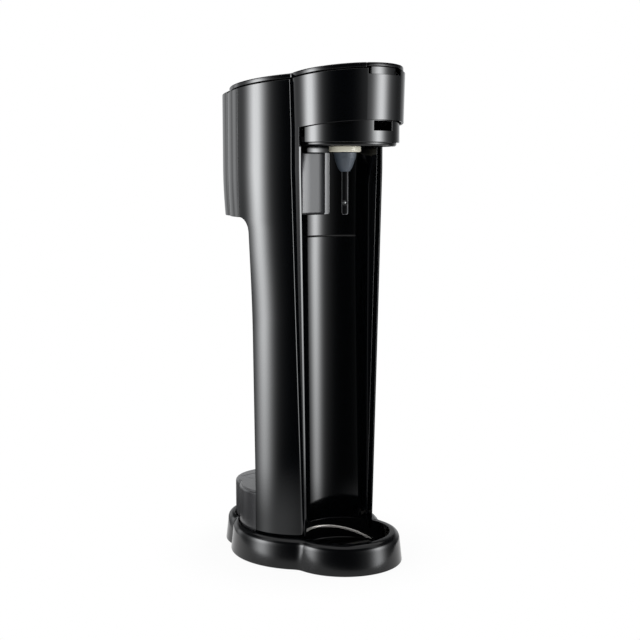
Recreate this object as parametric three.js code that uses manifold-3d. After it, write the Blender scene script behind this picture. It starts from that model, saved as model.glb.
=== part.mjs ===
// Soda siphon: a slim machine, worked by hand, that puts gas into a bottle of water on the table.
// Millimetres, +Z up. The pieces are drawn round the bottle's axis x = y = 0, the front is -Y, and the last
// lines move the whole along Y so that the origin is the middle of the footprint on the floor.
import * as THREE from 'three';
import { mergeVertices } from 'three/addons/utils/BufferGeometryUtils.js';
import Module from 'manifold-3d';

const wasm = await Module();
wasm.setup();

// Fits shared by all pieces
const seat = 0.3; // gap that two touching pieces keep
const overrun = 6; // how far a cutter runs past what it cuts
const wall = 2; // moulded casing wall
const pinFit = 0.3; // gap between a pin and its hole

// Casing: three round lobes in plan, drafted in front and waisted at the sides
const standHeight = 20; // floor of the socket in the base that the column stands in
const waistHeight = 200; // the sides are upright up to here
const lidHeight = 419.8; // top of the lid over the bottle's axis
const lidFall_share = 0.11; // fall of the lid for each unit to the rear
const headDepth = 45.9;
const seamHeight = lidHeight - headDepth; // lower edge of the head over the bottle's axis
const shoulderDrop = 33.9;
const shoulderHeight = seamHeight - shoulderDrop; // the sides are upright again from here on
const footFrontRadius = 41.3;
const headFrontRadius = 49.2;
const rimSpread = 1.1; // by which the front lobe is wider at the lid
const waistRadius = 58.6;
const headRadius = 62.5;
const waistCentre = 52;
const headCentre = 57.5;
const footRearRadius = 42;
const footRearCentre = 83;
const hoodRadius = 46.8;
const hoodCentre = 89.6;
const footValleyRadius = 3;
const headValleyRadius = 12;
const creaseRadius = 2;
const footCorner = 5.8; // front edges of the side walls, behind the bottle's axis
const headCorner = 3.4;

// Rear cut of the side walls, and the hood over it
const cutFoot = 49.5; // rear edge of the side walls at the base
const cutTop = 54.3; // and under the hood
const cutFillet = 12.2;
const hoodDepth = 121;
const hoodLow = lidHeight - hoodDepth;
const hoodCorner = 12;
const hoodRimDrop = 2; // from the lid's plane to the hood's rim, behind the lid
const ledgeWidth = 2.5;

// Base: its lobes stand out from the column's foot by a flange
const baseHeight = 25.8;
const frontFlange = 9.5;
const middleFlange = 9.6;
const rearFlange = 4.9;
const middleShift = 3.3; // of the middle lobe, to the front of the column's
const rearShift = 6.7; // of the rear lobe, to the rear of the column's
const baseFrontRadius = footFrontRadius + frontFlange;
const baseMiddleRadius = waistRadius + middleFlange;
const baseMiddleCentre = waistCentre - middleShift;
const baseRearRadius = footRearRadius + rearFlange;
const baseRearCentre = footRearCentre + rearShift;
const baseValleyRadius = 12;
const rimInset = 7; // from the widest outline to the flat top of the rim
const baseWall = 2.6;
const socketGap = 0.8; // shadow gap round the column
const plateLow = 1;
const plateThickness = 2.4;
const plateGap = 0.5; // from the base plate to the underside of the bowl
const bowlInset = 1.3; // from the column's front lobe to the bowl
const bowlFloorThickness = 2.4;
const bowlRingWall = 1.8; // of the bowl's upper wall, behind the column's front edges
const bowlRadius = footFrontRadius - bowlInset;
const bowlFloor = plateLow + plateThickness + plateGap + bowlFloorThickness;
const bossRadius = 4;
const screwRadius = 1.5;
const screwHeadRadius = 3;
const screwHeadHeight = 1.8;
const footPadRadius = 7;
const footPadHeight = 2.3;
const frontPadX = 24;
const frontPadY = -20;
const rearPadX = 28;
const rearPadBack = 10.3; // behind the middle of the rear lobe
const frontScrewInset = 14.8; // from the middle lobe's outline
const frontScrewY = 30;
const rearScrewX = 34;
const rearScrewFront = 17.7; // in front of the middle of the rear lobe

// Drip tray
const trayGap = 0.7;
const trayWall = 1.4;
const trayDepth = 14.4; // from its underside to the rear of its lip
const trayLip = 0.6; // height of the lip over the tray's floor in front
const trayRake_share = 0.33; // rise of the lip for each unit to the rear

// Bottle alcove
const troughFlare = 3;
const troughFlareDrop = 80; // under the shoulder, from where the trough keeps its radius
const troughCreaseInset = 3.5;
const troughFootRadius = bowlRadius;
const troughRadius = troughFootRadius + troughFlare;
const troughWaist = shoulderHeight - troughFlareDrop;
const troughCrease = troughFootRadius - troughCreaseInset; // half the width between the two creases
const linerWall = 1.6;
const linerLip = 1.2;
const linerSetback = 3; // from the side walls' front edges to the liner's
const ceilingDrop = 12.1; // under the pivots
const ceilingGap = 2; // from the inner collar to the ceiling's front edge
const coverDrop = 14.4; // grey valve cover, under the ceiling
const coverHeight = 54;
const coverHalfWidth = 17;
const coverDepth = 7;
const coverRounding = 6.5;

// Lid, rear cap and button
const lidThickness = 4;
const lidGap = 1; // dark line under the lid
const lidInset = 1.8;
const lidNeckDepth = 4;
const lidNeckWall = 1.8;
const capDrop = 1;
const capThickness = 3;
const buttonHalfWidth = 18.2;
const buttonGap = 0.5;
const buttonRear = 8; // rear edge of the button's plate, in front of the bottle's axis
const buttonThickness = 3.2;
const notchHalfWidth = 18.9;
const notchDepth = 9.6;
const skirtHalfWidth = 14.3;
const skirtDepth = 9;
const skirtWall = 1.8;
const buttonHingeY = 2;
const buttonHingeDrop = 8; // under the top of the lid
const buttonArmX = 11.8;
const buttonArmWidth = 3.4;
const buttonArmHeight = 6.4;
const pushY = -30; // where the button pushes the rocker
const pushRadius = 3;
const pushHalfWidth = 4;
const smallPinRadius = 1.7;

// Frame plate in the head
const deckThickness = 3;
const deckFrontOver = 3; // in front of the collar's ears
const deckRearOver = 1; // behind the rocker's ears
const earThickness = 3;
const earHalfDepth = 5;
const pivotDrop = 7.5; // under the deck, axis of the collar's pivots and of the cylinder holder's
const collarPivotY = -6;
const collarEarGap = 0.76; // from the ears to the inside of the collar
const collarPinRadius = 2;
const frameBossInset = 7.24; // from the middle of the casing's wall
const frameBossY = 45;
const frameBossRadius = 5;
const frameBossHeight = 15;

// Rocker, spring and plunger
const rockerRoom = 1.635; // from the rocker's rear end to the lid
const rockerThickness = 5;
const rockerHalfWidth = 6.5;
const rockerArm = 23.4; // from the plunger to the rocker's pin
const springRoom = 7; // from the deck to the rocker
const springY = 30;
const springRadius = 4.5;
const springWire = 0.5;
const springTurns = 3;
const plungerRadius = 2.5;
const plungerHeadRadius = 5;
const plungerHeadHeight = 3.5;

// Gas cylinder, its valve and its holder
const cylinderGap = 1; // from the liner to the flask
const cylinderRadius = 29;
const cylinderRoom = 1.8; // under its foot
const cylinderFootRounding = 8;
const cylinderDomeHeight = 26;
const cylinderNeckRadius = 13;
const valveHeight = 22; // from the flask to the end of the thread
const valveFlangeHeight = 4;
const valveThreadRadius = 10.5;
const threadDrop = 10.5; // from the pivots to the end of the thread
const nippleRadius = 4;
const nippleLength = 5;
const valvePinRadius = 1.2;
const valvePinLength = 16;
const pinTravelRoom = 3;
const holderRadius = 17;
const holderRoof = 1.7; // over the seal
const holderBossRadius = 8;
const holderBossRoof = 3.2; // over the nipple
const sealThickness = 1.7;
const cheekX = 14;
const cheekThickness = 3.4;
const cheekTop = 4.5; // above the pivot
const cheekGap = 1; // from the cheeks to the frame's ears
const holderPinRadius = 2;

// Gas pipe
const pipeRadius = 2;
const pipeInset = 5.9; // from the middle of the collar's right ear
const pipeBend = 13;
const swivelRadius = 5;
const swivelHalfLength = 9;

// Collar and nozzle
const collarGap = 1.4; // inside the head
const collarWall = 2.2;
const collarOver = 4.5; // above the pivots
const collarUnder = 19; // and below them
const collarRear = 1.3;
const collarRadius = headFrontRadius - wall - collarGap;
const windowHalfWidth = 10.4;
const windowSill = 9.5;
const windowHeight = 7.6;
const innerCollarHeight = 3;
const innerCollarWall = 4.5;
const innerCollarChamfer = 1.2;
const innerCollarRear = 8;
const nozzlePlateThickness = 4.2;
const nozzleRingRadius = 13.5;
const nozzleRingDrop = 2.5; // under the collar
const nozzleRingHeight = 5;
const nozzleRingBore = 5;
const nozzleBossRadius = 9;
const cupRadius = 9.7;
const cupMouthHeight = 2;
const cupTipRadius = 3.6;
const cupHeight = 16.5;
const tubeRadius = 2.65;
const tubeReach = 36; // under the cup
const tubeBore = 1.1;
const slotHalfWidth = 0.9;
const slotRise = 6; // from the tube's tip
const slotHeight = 8;
const reliefX = -18;
const reliefY = -14;
const reliefRadius = 4.5;
const reliefHeight = 9;

// Rear foot block
const blockInset = 0.2;
const blockGap = 0.8; // to the side walls' rear edges
const blockHigh = 61.2;
const blockFall_share = 0.047;
const blockRounding = 2.8;
const catchInset = 16; // from the column's rear lobe, at the sides and at the rear
const catchLength = 17;
const catchDepth = 2;

// Counts of flats
const frontFlats = 26;
const valleyFlats = 4;
const sideFlats = 11;
const creaseFlats = 2;
const rearFlats = 16;
const roundFlats = 32;
const fineFlats = 64;
const smallFlats = 16;
const edgeFlats = 3;
const coilFlats = 8;
const wireFlats = 5;

// Solids, and the few shapes that all pieces are made of
const solid = (geometry) => {
  const bare = geometry.clone();
  bare.deleteAttribute('normal');
  bare.deleteAttribute('uv');
  const merged = mergeVertices(bare);
  const vertProperties = Float32Array.from(merged.attributes.position.array);
  const triVerts = Uint32Array.from(merged.index.array);
  return new wasm.Manifold(new wasm.Mesh({ numProp: 3, vertProperties, triVerts }));
};

const geometryOf = (body) => {
  const mesh = body.getMesh();
  const geometry = new THREE.BufferGeometry();
  geometry.setAttribute('position', new THREE.BufferAttribute(mesh.vertProperties.slice(), mesh.numProp));
  geometry.setIndex(Array.from(mesh.triVerts));
  return geometry;
};

const lerp = THREE.MathUtils.lerp;
const smooth = THREE.MathUtils.smoothstep;
const rise = (z, low, high) => THREE.MathUtils.clamp((z - low) / (high - low), 0, 1);

// An arc of a circle round (x, y), its angle counted from -Y towards +X, without its last point
function arc(x, y, radius, from, to, flats) {
  const points = [];
  for (let i = 0; i < flats; i += 1) {
    const angle = lerp(from, to, i / flats);
    points.push(new THREE.Vector2(x + radius * Math.sin(angle), y - radius * Math.cos(angle)));
  }
  return points;
}

// The outline of round lobes in a row along Y, each pair joined by a hollow arc, drawn smaller by inset
function lobedOutline(lobes, valleys, inset, flats) {
  const half = [];
  let from = 0;
  lobes.forEach((lobe, i) => {
    const next = lobes[i + 1];
    if (!next) {
      half.push(...arc(0, lobe.y, lobe.r - inset, from, Math.PI, flats.lobes[i]));
      half.push(new THREE.Vector2(0, lobe.y + lobe.r - inset));
      return;
    }
    const near = lobe.r + valleys[i];
    const far = next.r + valleys[i];
    const apart = next.y - lobe.y;
    const along = (near * near - far * far + apart * apart) / (apart + apart);
    const x = Math.sqrt(near * near - along * along);
    const y = lobe.y + along;
    half.push(...arc(0, lobe.y, lobe.r - inset, from, Math.atan2(x, lobe.y - y), flats.lobes[i]));
    const start = Math.atan2(-x, y - lobe.y);
    const end = Math.atan2(-x, y - next.y);
    half.push(...arc(x, y, valleys[i] + inset, start, end, flats.valleys[i]));
    from = Math.atan2(x, next.y - y);
  });
  const other = half.slice(1, -1).reverse().map((p) => new THREE.Vector2(-p.x, p.y));
  return [...half, ...other];
}

// A closed solid through rings of equally many points, lowest ring first
function loft(rings) {
  const count = rings[0].length;
  const positions = rings.flat().flatMap((p) => [p.x, p.y, p.z]);
  const index = [];
  for (let i = 0; i + 1 < rings.length; i += 1) {
    for (let j = 0; j < count; j += 1) {
      const a = i * count + j;
      const b = i * count + ((j + 1) % count);
      index.push(a, b, b + count, a, b + count, a + count);
    }
  }
  const flat = (ring) => THREE.ShapeUtils.triangulateShape(ring.map((p) => new THREE.Vector2(p.x, p.y)), []);
  flat(rings[0]).forEach(([a, b, c]) => index.push(a, c, b));
  const top = (rings.length - 1) * count;
  flat(rings.at(-1)).forEach(([a, b, c]) => index.push(top + a, top + b, top + c));
  const geometry = new THREE.BufferGeometry();
  geometry.setAttribute('position', new THREE.Float32BufferAttribute(positions, 3));
  geometry.setIndex(index);
  return solid(geometry);
}

const lift = (outline, z) => outline.map((p) => new THREE.Vector3(p.x, p.y, z));

// Straight solids: a plate from an outline in plan, a prism along X from a side view (y, z), a box, a pin
function plate(outline, low, high) {
  const geometry = new THREE.ExtrudeGeometry(new THREE.Shape(outline), { depth: high - low, bevelEnabled: false });
  return solid(geometry.translate(0, 0, low));
}

function sidePrism(outline, left, right) {
  const shape = new THREE.Shape(outline.map(([y, z]) => new THREE.Vector2(y, z)));
  const geometry = new THREE.ExtrudeGeometry(shape, { depth: right - left, bevelEnabled: false });
  const alongY = new THREE.Vector3(0, 1, 0);
  const alongZ = new THREE.Vector3(0, 0, 1);
  const alongX = new THREE.Vector3(1, 0, 0);
  geometry.applyMatrix4(new THREE.Matrix4().makeBasis(alongY, alongZ, alongX));
  return solid(geometry.translate(left, 0, 0));
}

function block(low, high) {
  const size = high.map((value, i) => value - low[i]);
  const geometry = new THREE.BoxGeometry(...size);
  return solid(geometry.translate(...low.map((value, i) => value + size[i] / 2)));
}

function disc(x, y, radius, low, high, flats = roundFlats) {
  const geometry = new THREE.CylinderGeometry(radius, radius, high - low, flats);
  return solid(geometry.rotateX(Math.PI / 2).translate(x, y, (low + high) / 2));
}

function crossPin(radius, left, right, y, z) {
  const geometry = new THREE.CylinderGeometry(radius, radius, right - left, smallFlats);
  return solid(geometry.rotateZ(Math.PI / 2).translate((left + right) / 2, y, z));
}

function turned(profile, x, y, flats = roundFlats) {
  const geometry = new THREE.LatheGeometry(profile.map(([r, z]) => new THREE.Vector2(r, z)), flats);
  return solid(geometry.rotateX(Math.PI / 2).translate(x, y, 0));
}

// Leans a body as the lid leans: every point falls with its distance to the rear
const leaning = new THREE.Matrix4().set(1, 0, 0, 0, 0, 1, 0, 0, 0, -lidFall_share, 1, 0, 0, 0, 0, 1);
const leaned = (body) => solid(geometryOf(body).applyMatrix4(leaning));
const lidAt = (y) => lidHeight - lidFall_share * y;
const seamAt = (y) => seamHeight - lidFall_share * y;

// Places and heights in the head, each piece at its own distance from the one that it hangs from or clears
const cylinderY = troughRadius + linerWall + cylinderGap + cylinderRadius;
const rockerPinY = cylinderY + rockerArm;
const rockerRear = rockerPinY + rockerThickness / 2 + wall / 2;
const rockerHigh = lidAt(rockerRear) - lidThickness - rockerRoom;
const rockerLow = rockerHigh - rockerThickness;
const deckHigh = rockerLow - springRoom;
const deckLow = deckHigh - deckThickness;
const pivotHeight = deckLow - pivotDrop;
const valveThreadHigh = pivotHeight - threadDrop;
const cylinderTop = valveThreadHigh - valveHeight;
const collarLow = pivotHeight - collarUnder;
const nozzleRingHigh = collarLow - nozzleRingDrop;
const nozzleRingLow = nozzleRingHigh - nozzleRingHeight;
const ceilingLow = pivotHeight - ceilingDrop;

const model = new THREE.Group();
function piece(name, body, colour, roughness, metalness = 0) {
  const material = new THREE.MeshStandardMaterial({ color: colour, roughness, metalness });
  const mesh = new THREE.Mesh(geometryOf(body), material);
  mesh.name = name;
  model.add(mesh);
}

const glossBlack = '#0b0c0e';
const satinBlack = '#141517';
const matteGrey = '#4d4e50';
const rubber = '#1a1a1a';
const steel = '#a9acb0';

// The casing's outline at a height, drawn smaller by inset
const bodyFlats = { lobes: [frontFlats / 2, sideFlats, rearFlats / 2], valleys: [valleyFlats, creaseFlats] };
function bodyLobes(z) {
  const draft = rise(z, standHeight, shoulderHeight);
  const flare = smooth(z, waistHeight, shoulderHeight);
  const spread = rimSpread * rise(z, seamHeight, lidHeight);
  return {
    lobes: [
      { y: 0, r: lerp(footFrontRadius, headFrontRadius, draft) + spread },
      { y: lerp(waistCentre, headCentre, flare), r: lerp(waistRadius, headRadius, flare) },
      { y: lerp(footRearCentre, hoodCentre, flare), r: lerp(footRearRadius, hoodRadius, flare) },
    ],
    valleys: [lerp(footValleyRadius, headValleyRadius, draft), creaseRadius],
  };
}

function bodyOutline(z, inset) {
  const { lobes, valleys } = bodyLobes(z);
  return lobedOutline(lobes, valleys, inset, bodyFlats);
}

const flareShares = [0, 0.3, 0.5, 0.7, 1];
const flareHeights = flareShares.map((share) => lerp(waistHeight, shoulderHeight, share));
function bodySolid(inset, low, high) {
  const between = [...flareHeights, seamHeight, lidHeight].sort((a, b) => a - b);
  const heights = [low, ...between.filter((z) => z > low && z < high), high];
  return loft(heights.map((z) => lift(bodyOutline(z, inset), z)));
}

const reach = baseMiddleRadius + baseRearRadius + baseRearCentre; // further out than any piece
const casingTop = lidHeight + lidThickness + headFrontRadius;
const casing = bodySolid(0, standHeight + seat, casingTop)
  .subtract(bodySolid(wall, standHeight - overrun, casingTop + overrun));
const rimDrop = lidThickness + lidGap;
const aboveLidPlane = (drop) => sidePrism([
  [-reach, lidAt(-reach) - drop],
  [reach, lidAt(reach) - drop],
  [reach, casingTop + reach],
  [-reach, casingTop + reach],
], -reach, reach);
const [, middleLobe, rearLobe] = bodyLobes(lidHeight).lobes;

// Front housing: the head's drum and both side walls in one moulding, open in front below the head and cut
// away at the back
const mouth = sidePrism([
  [-reach, -overrun],
  [footCorner, -overrun],
  [footCorner, standHeight],
  [headCorner, shoulderHeight],
  [headCorner, seamAt(headCorner)],
  [-reach, seamAt(-reach)],
], -reach, reach);
const filletArc = [];
for (let i = 0; i <= valleyFlats; i += 1) {
  const angle = Math.PI - (i / valleyFlats) * (Math.PI / 2);
  const y = cutTop + cutFillet + cutFillet * Math.cos(angle);
  filletArc.push([y, hoodLow - cutFillet + cutFillet * Math.sin(angle)]);
}
const rearCut = sidePrism([
  [reach, -overrun],
  [reach, casingTop + overrun],
  [cutTop + cutFillet, casingTop + overrun],
  ...filletArc.toReversed(),
  [cutFoot, standHeight],
  [cutFoot, -overrun],
], -reach, reach);
const notch = block(
  [-notchHalfWidth, -reach, lidAt(-headFrontRadius) - notchDepth],
  [notchHalfWidth, -headFrontRadius / 2, casingTop],
);
const bossSide = Math.sqrt(middleLobe.r ** 2 - (middleLobe.y - frameBossY) ** 2) - wall / 2;
const frameBossX = bossSide - frameBossInset;
let frontHousing = casing.subtract(mouth).subtract(rearCut).subtract(aboveLidPlane(rimDrop)).subtract(notch);
for (const side of [-1, 1]) {
  const bossTop = deckLow - seat;
  const rib = [side * frameBossX, side * bossSide].sort((a, b) => a - b);
  frontHousing = frontHousing
    .add(disc(side * frameBossX, frameBossY, frameBossRadius, bossTop - frameBossHeight, bossTop, smallFlats))
    .add(block([rib[0], frameBossY - wall / 2, bossTop - frameBossHeight], [rib[1], frameBossY + wall / 2, bossTop]))
    .subtract(disc(side * frameBossX, frameBossY, screwRadius + pinFit, bossTop - frameBossHeight / 2,
      bossTop + overrun, smallFlats));
}
piece('front_housing', frontHousing, glossBlack, 0.12);

// Rear hood: the upper half of the back, behind a seam, its lower rear corner rounded, with a ledge for the cap
const hoodSeam = cutTop + cutFillet;
const hoodRear = hoodCentre + hoodRadius;
const cornerArc = [];
for (let i = 0; i <= valleyFlats; i += 1) {
  const angle = -(i / valleyFlats) * (Math.PI / 2);
  cornerArc.push([hoodRear - hoodCorner + hoodCorner * Math.cos(angle), hoodLow + hoodCorner + hoodCorner * Math.sin(angle)]);
}
const hoodSide = sidePrism([
  ...cornerArc,
  [hoodSeam + seat, hoodLow],
  [hoodSeam + seat, casingTop],
  [hoodRear, casingTop],
], -reach, reach);
const capLow = lidHeight - capDrop - capThickness;
const ledgeHigh = capLow - seat;
const capFront = disc(0, middleLobe.y, middleLobe.r - lidInset + buttonGap, 0, casingTop, fineFlats)
  .add(block([-reach, -reach, 0], [reach, middleLobe.y, casingTop]));
const ledge = disc(0, rearLobe.y, rearLobe.r - wall / 2, ledgeHigh - wall, ledgeHigh, fineFlats)
  .subtract(disc(0, rearLobe.y, rearLobe.r - wall - ledgeWidth, 0, casingTop, fineFlats))
  .subtract(capFront);
const overLid = disc(0, middleLobe.y, middleLobe.r + seat, 0, casingTop + overrun, fineFlats);
const rearHood = casing.intersect(hoodSide)
  .subtract(aboveLidPlane(hoodRimDrop))
  .subtract(aboveLidPlane(rimDrop).intersect(overLid))
  .add(leaned(ledge));
piece('rear_hood', rearHood, glossBlack, 0.14);

// Base: a flared rim with a bowl for the bottle's foot and a socket for the column, hollow from below
const baseLobes = [
  { y: 0, r: baseFrontRadius },
  { y: baseMiddleCentre, r: baseMiddleRadius },
  { y: baseRearCentre, r: baseRearRadius },
];
const baseOutline = (inset) => lobedOutline(baseLobes, [baseValleyRadius, creaseRadius], inset, bodyFlats);
const rimHeightShares = [0.012, 0.035, 0.74, 0.88, 0.965, 1];
const rimInsetShares = [0.06, 0, 0.29, 0.42, 0.64, 1];
const rim = loft(rimHeightShares.map((share, i) => {
  return lift(baseOutline(rimInset * rimInsetShares[i]), baseHeight * share);
}));
const cavityTop = standHeight - baseWall;
const socket = bodySolid(-socketGap, standHeight, baseHeight + overrun)
  .intersect(block([-reach, footCorner - socketGap, 0], [reach, reach, baseHeight + overrun]));
const frontScrewReach = baseMiddleRadius - frontScrewInset;
const frontScrewX = Math.sqrt(frontScrewReach ** 2 - (baseMiddleCentre - frontScrewY) ** 2);
const baseScrews = [-1, 1].flatMap((side) => [
  [side * frontScrewX, frontScrewY],
  [side * rearScrewX, baseRearCentre - rearScrewFront],
]);
const bowlRing = disc(0, 0, bowlRadius + bowlRingWall, cavityTop, baseHeight, fineFlats)
  .intersect(bodySolid(wall + seat, 0, baseHeight + overrun));
let baseShell = rim
  .subtract(plate(baseOutline(baseWall), -overrun, cavityTop))
  .add(disc(0, 0, bowlRadius + baseWall, bowlFloor - bowlFloorThickness, standHeight))
  .subtract(socket)
  .add(bowlRing)
  .subtract(disc(0, 0, bowlRadius, bowlFloor, baseHeight + overrun, fineFlats));
const plateHigh = plateLow + plateThickness;
for (const [x, y] of baseScrews) {
  const hole = disc(x, y, screwRadius + pinFit, 0, cavityTop - baseWall, smallFlats);
  baseShell = baseShell.add(disc(x, y, bossRadius, plateHigh + seat, standHeight - wall / 2, smallFlats)).subtract(hole);
}
piece('base_shell', baseShell, glossBlack, 0.22);

// Base plate: the flat cover under the base, with pockets for the pads and holes for the screws
const pads = [-1, 1].flatMap((side) => [
  [side * frontPadX, frontPadY],
  [side * rearPadX, baseRearCentre + rearPadBack],
]);
let basePlate = plate(baseOutline(baseWall + seat), plateLow, plateHigh);
for (const [x, y] of pads) {
  basePlate = basePlate.subtract(disc(x, y, footPadRadius + seat, -overrun, footPadHeight + seat, smallFlats));
}
for (const [x, y] of baseScrews) {
  basePlate = basePlate
    .subtract(disc(x, y, screwHeadRadius + seat, -overrun, plateLow + screwHeadHeight, smallFlats))
    .subtract(disc(x, y, screwRadius + pinFit, 0, plateHigh + overrun, smallFlats));
}
piece('base_plate', basePlate, satinBlack, 0.5);

pads.forEach(([x, y], i) => {
  piece(`foot_pad_${i + 1}`, disc(x, y, footPadRadius, 0, footPadHeight, smallFlats), rubber, 0.9);
});

// Screws: a flat head and a plain shank
function screw(x, y, headFace, direction, length) {
  const span = (from, to) => [headFace + direction * from, headFace + direction * to].sort((a, b) => a - b);
  const [headLow, headHigh] = span(0, screwHeadHeight - seat);
  const [shankLow, shankHigh] = span(0, length);
  return disc(x, y, screwHeadRadius, headLow, headHigh, smallFlats)
    .add(disc(x, y, screwRadius, shankLow, shankHigh, smallFlats));
}

const baseScrewLength = (cavityTop - plateLow) / 2;
baseScrews.forEach(([x, y], i) => {
  piece(`base_screw_${i + 1}`, screw(x, y, plateLow, 1, baseScrewLength), steel, 0.35, 1);
});

// Bottle trough: hollow round the bottle's axis at the back, straight walls that flare to the front edges
function troughOutline(z, inset) {
  const radius = lerp(troughFootRadius, troughRadius, rise(z, standHeight, troughWaist)) - inset;
  const corner = lerp(footCorner, headCorner, rise(z, standHeight, shoulderHeight)) + linerSetback;
  const inner = bodyLobes(z).lobes[0].r - wall;
  const lip = Math.sqrt(inner * inner - corner * corner) - seat - linerLip - inset;
  const crease = troughCrease - inset;
  const turn = Math.atan2(crease, -Math.sqrt(radius * radius - crease * crease));
  return [
    new THREE.Vector2(-lip, corner - reach),
    new THREE.Vector2(lip, corner - reach),
    new THREE.Vector2(lip, corner),
    ...arc(0, 0, radius, turn, 2 * Math.PI - turn, rearFlats),
    new THREE.Vector2(-crease, -radius * Math.cos(turn)),
    new THREE.Vector2(-lip, corner),
  ];
}

function troughSolid(inset, low, high) {
  const heights = [low, ...[troughWaist, shoulderHeight].filter((z) => z > low && z < high), high];
  return loft(heights.map((z) => lift(troughOutline(z, inset), z)));
}

// Alcove liner: the trough's skin from the base up to a ceiling behind the nozzle
const ceilingHigh = ceilingLow + linerWall;
const ceilingFront = innerCollarRear + ceilingGap;
const linerFront = sidePrism([
  [-reach, -overrun],
  [footCorner + linerSetback, -overrun],
  [footCorner + linerSetback, standHeight],
  [headCorner + linerSetback, shoulderHeight],
  [headCorner + linerSetback, ceilingHigh + overrun],
  [-reach, ceilingHigh + overrun],
], -reach, reach);
const ceiling = troughSolid(0, ceilingLow, ceilingHigh)
  .intersect(block([-reach, ceilingFront, 0], [reach, reach, ceilingHigh + overrun]));
const liner = troughSolid(-linerWall, baseHeight + seat, ceilingHigh)
  .intersect(bodySolid(wall + seat, standHeight, ceilingHigh + overrun))
  .subtract(troughSolid(0, standHeight - overrun, ceilingHigh + overrun))
  .subtract(linerFront)
  .add(ceiling);
piece('alcove_liner', liner, glossBlack, 0.16);

// Valve cover: a grey block with rounded upright edges on the back wall of the trough
const coverHigh = ceilingLow - coverDrop;
const coverLow = coverHigh - coverHeight;
const coverFront = troughRadius - coverDepth;
const roundedFront = [
  ...arc(coverHalfWidth - coverRounding, coverFront + coverRounding, coverRounding, 0, Math.PI / 2, valleyFlats),
  new THREE.Vector2(coverHalfWidth, coverFront + coverRounding),
  new THREE.Vector2(coverHalfWidth, coverFront + troughRadius),
  new THREE.Vector2(-coverHalfWidth, coverFront + troughRadius),
  ...arc(coverRounding - coverHalfWidth, coverFront + coverRounding, coverRounding, -Math.PI / 2, 0, valleyFlats),
  new THREE.Vector2(coverRounding - coverHalfWidth, coverFront),
];
const valveCover = plate(roundedFront, coverLow, coverHigh)
  .intersect(troughSolid(seat, coverLow - overrun, coverHigh + overrun));
piece('valve_cover', valveCover, '#5f6163', 0.45);

// Drip tray: a round dish with a raked lip that lies in the bowl and lifts out
const trayLow = bowlFloor + seat;
const trayRadius = bowlRadius - trayGap;
const trayRearHeight = trayLow + trayDepth;
const trayFrontHeight = trayLow + trayWall + trayLip;
const trayRim = (y) => trayRearHeight - trayRake_share * (trayRadius - y);
const trayKnee = trayRadius - (trayRearHeight - trayFrontHeight) / trayRake_share;
const trayForm = (inset, low) => disc(0, 0, trayRadius - inset, low, trayRearHeight + overrun, fineFlats);
const aboveTray = sidePrism([
  [-reach, trayFrontHeight],
  [trayKnee, trayFrontHeight],
  [reach, trayRim(reach)],
  [reach, reach],
  [-reach, reach],
], -reach, reach);
piece('drip_tray', trayForm(0, trayLow).subtract(trayForm(trayWall, trayLow + trayWall)).subtract(aboveTray),
  satinBlack, 0.3);

// Rear foot block: the matte grey step behind the column, hollow from below, with a plate let into its top
const blockFront = cutFoot + blockGap;
const roundingShare = 0.3; // of a rounding's size, where its middle lies
const blockTop = (y) => blockHigh - blockFall_share * (y - blockFront);
const blockRing = (inset, drop, lean) => bodyOutline(standHeight, blockInset + inset)
  .map((p) => new THREE.Vector3(p.x, p.y, lean ? blockTop(p.y) - drop : drop));
const blockSkin = (inset, low) => loft([
  blockRing(inset, low, false),
  blockRing(inset, blockRounding + inset, true),
  blockRing(inset + blockRounding * roundingShare, blockRounding * roundingShare + inset, true),
  blockRing(inset + blockRounding, inset, true),
]);
const catchRear = footRearCentre + footRearRadius - catchInset;
const catchFront = catchRear - catchLength;
const catchHalfWidth = footRearRadius - catchInset;
const behindBlockFront = (inset) => block([-reach, blockFront + inset, -overrun], [reach, reach, reach]);
const catchPlate = (gap) => block(
  [gap - catchHalfWidth, catchFront + gap, -overrun],
  [catchHalfWidth - gap, catchRear - gap, reach],
);
const catchLayer = sidePrism([
  [0, blockTop(0) - catchDepth],
  [reach, blockTop(reach) - catchDepth],
  [reach, reach],
  [0, reach],
], -reach, reach);
const rearBlock = blockSkin(0, standHeight + seat).intersect(behindBlockFront(0))
  .subtract(blockSkin(baseWall + catchDepth, 0).intersect(behindBlockFront(baseWall)))
  .subtract(catchPlate(0).intersect(catchLayer));
piece('rear_foot_block', rearBlock, matteGrey, 0.7);

const catchBody = catchPlate(seat).intersect(blockSkin(0, standHeight + seat)).intersect(catchLayer);
const catchSeat = sidePrism([
  [0, blockTop(0) - catchDepth + seat],
  [reach, blockTop(reach) - catchDepth + seat],
  [reach, reach],
  [0, reach],
], -reach, reach);
piece('cover_catch_plate', catchBody.intersect(catchSeat), matteGrey, 0.6);

// Top lid: a leaning plate over the front and middle lobes, with a neck inside the casing
const lidLobes = (inset) => {
  const { lobes, valleys } = bodyLobes(lidHeight);
  const flats = { lobes: [bodyFlats.lobes[0], sideFlats * 2], valleys: [valleyFlats] };
  return lobedOutline(lobes.slice(0, 2), valleys.slice(0, 1), inset, flats);
};
const neckHigh = lidHeight - lidThickness / 2;
const lidNeck = plate(lidLobes(wall + seat), lidHeight - lidThickness - lidNeckDepth, neckHigh)
  .subtract(plate(lidLobes(wall + seat + lidNeckWall), 0, lidHeight + overrun))
  .subtract(block([-reach, hoodSeam, 0], [reach, reach, lidHeight + overrun]));
const buttonPocket = block(
  [-buttonHalfWidth - buttonGap, -reach, 0],
  [buttonHalfWidth + buttonGap, buttonGap - buttonRear, lidHeight + overrun],
);
const lidPlate = plate(lidLobes(lidInset), lidHeight - lidThickness, lidHeight);
piece('top_lid', leaned(lidPlate.add(lidNeck).subtract(buttonPocket)), glossBlack, 0.18);

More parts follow.
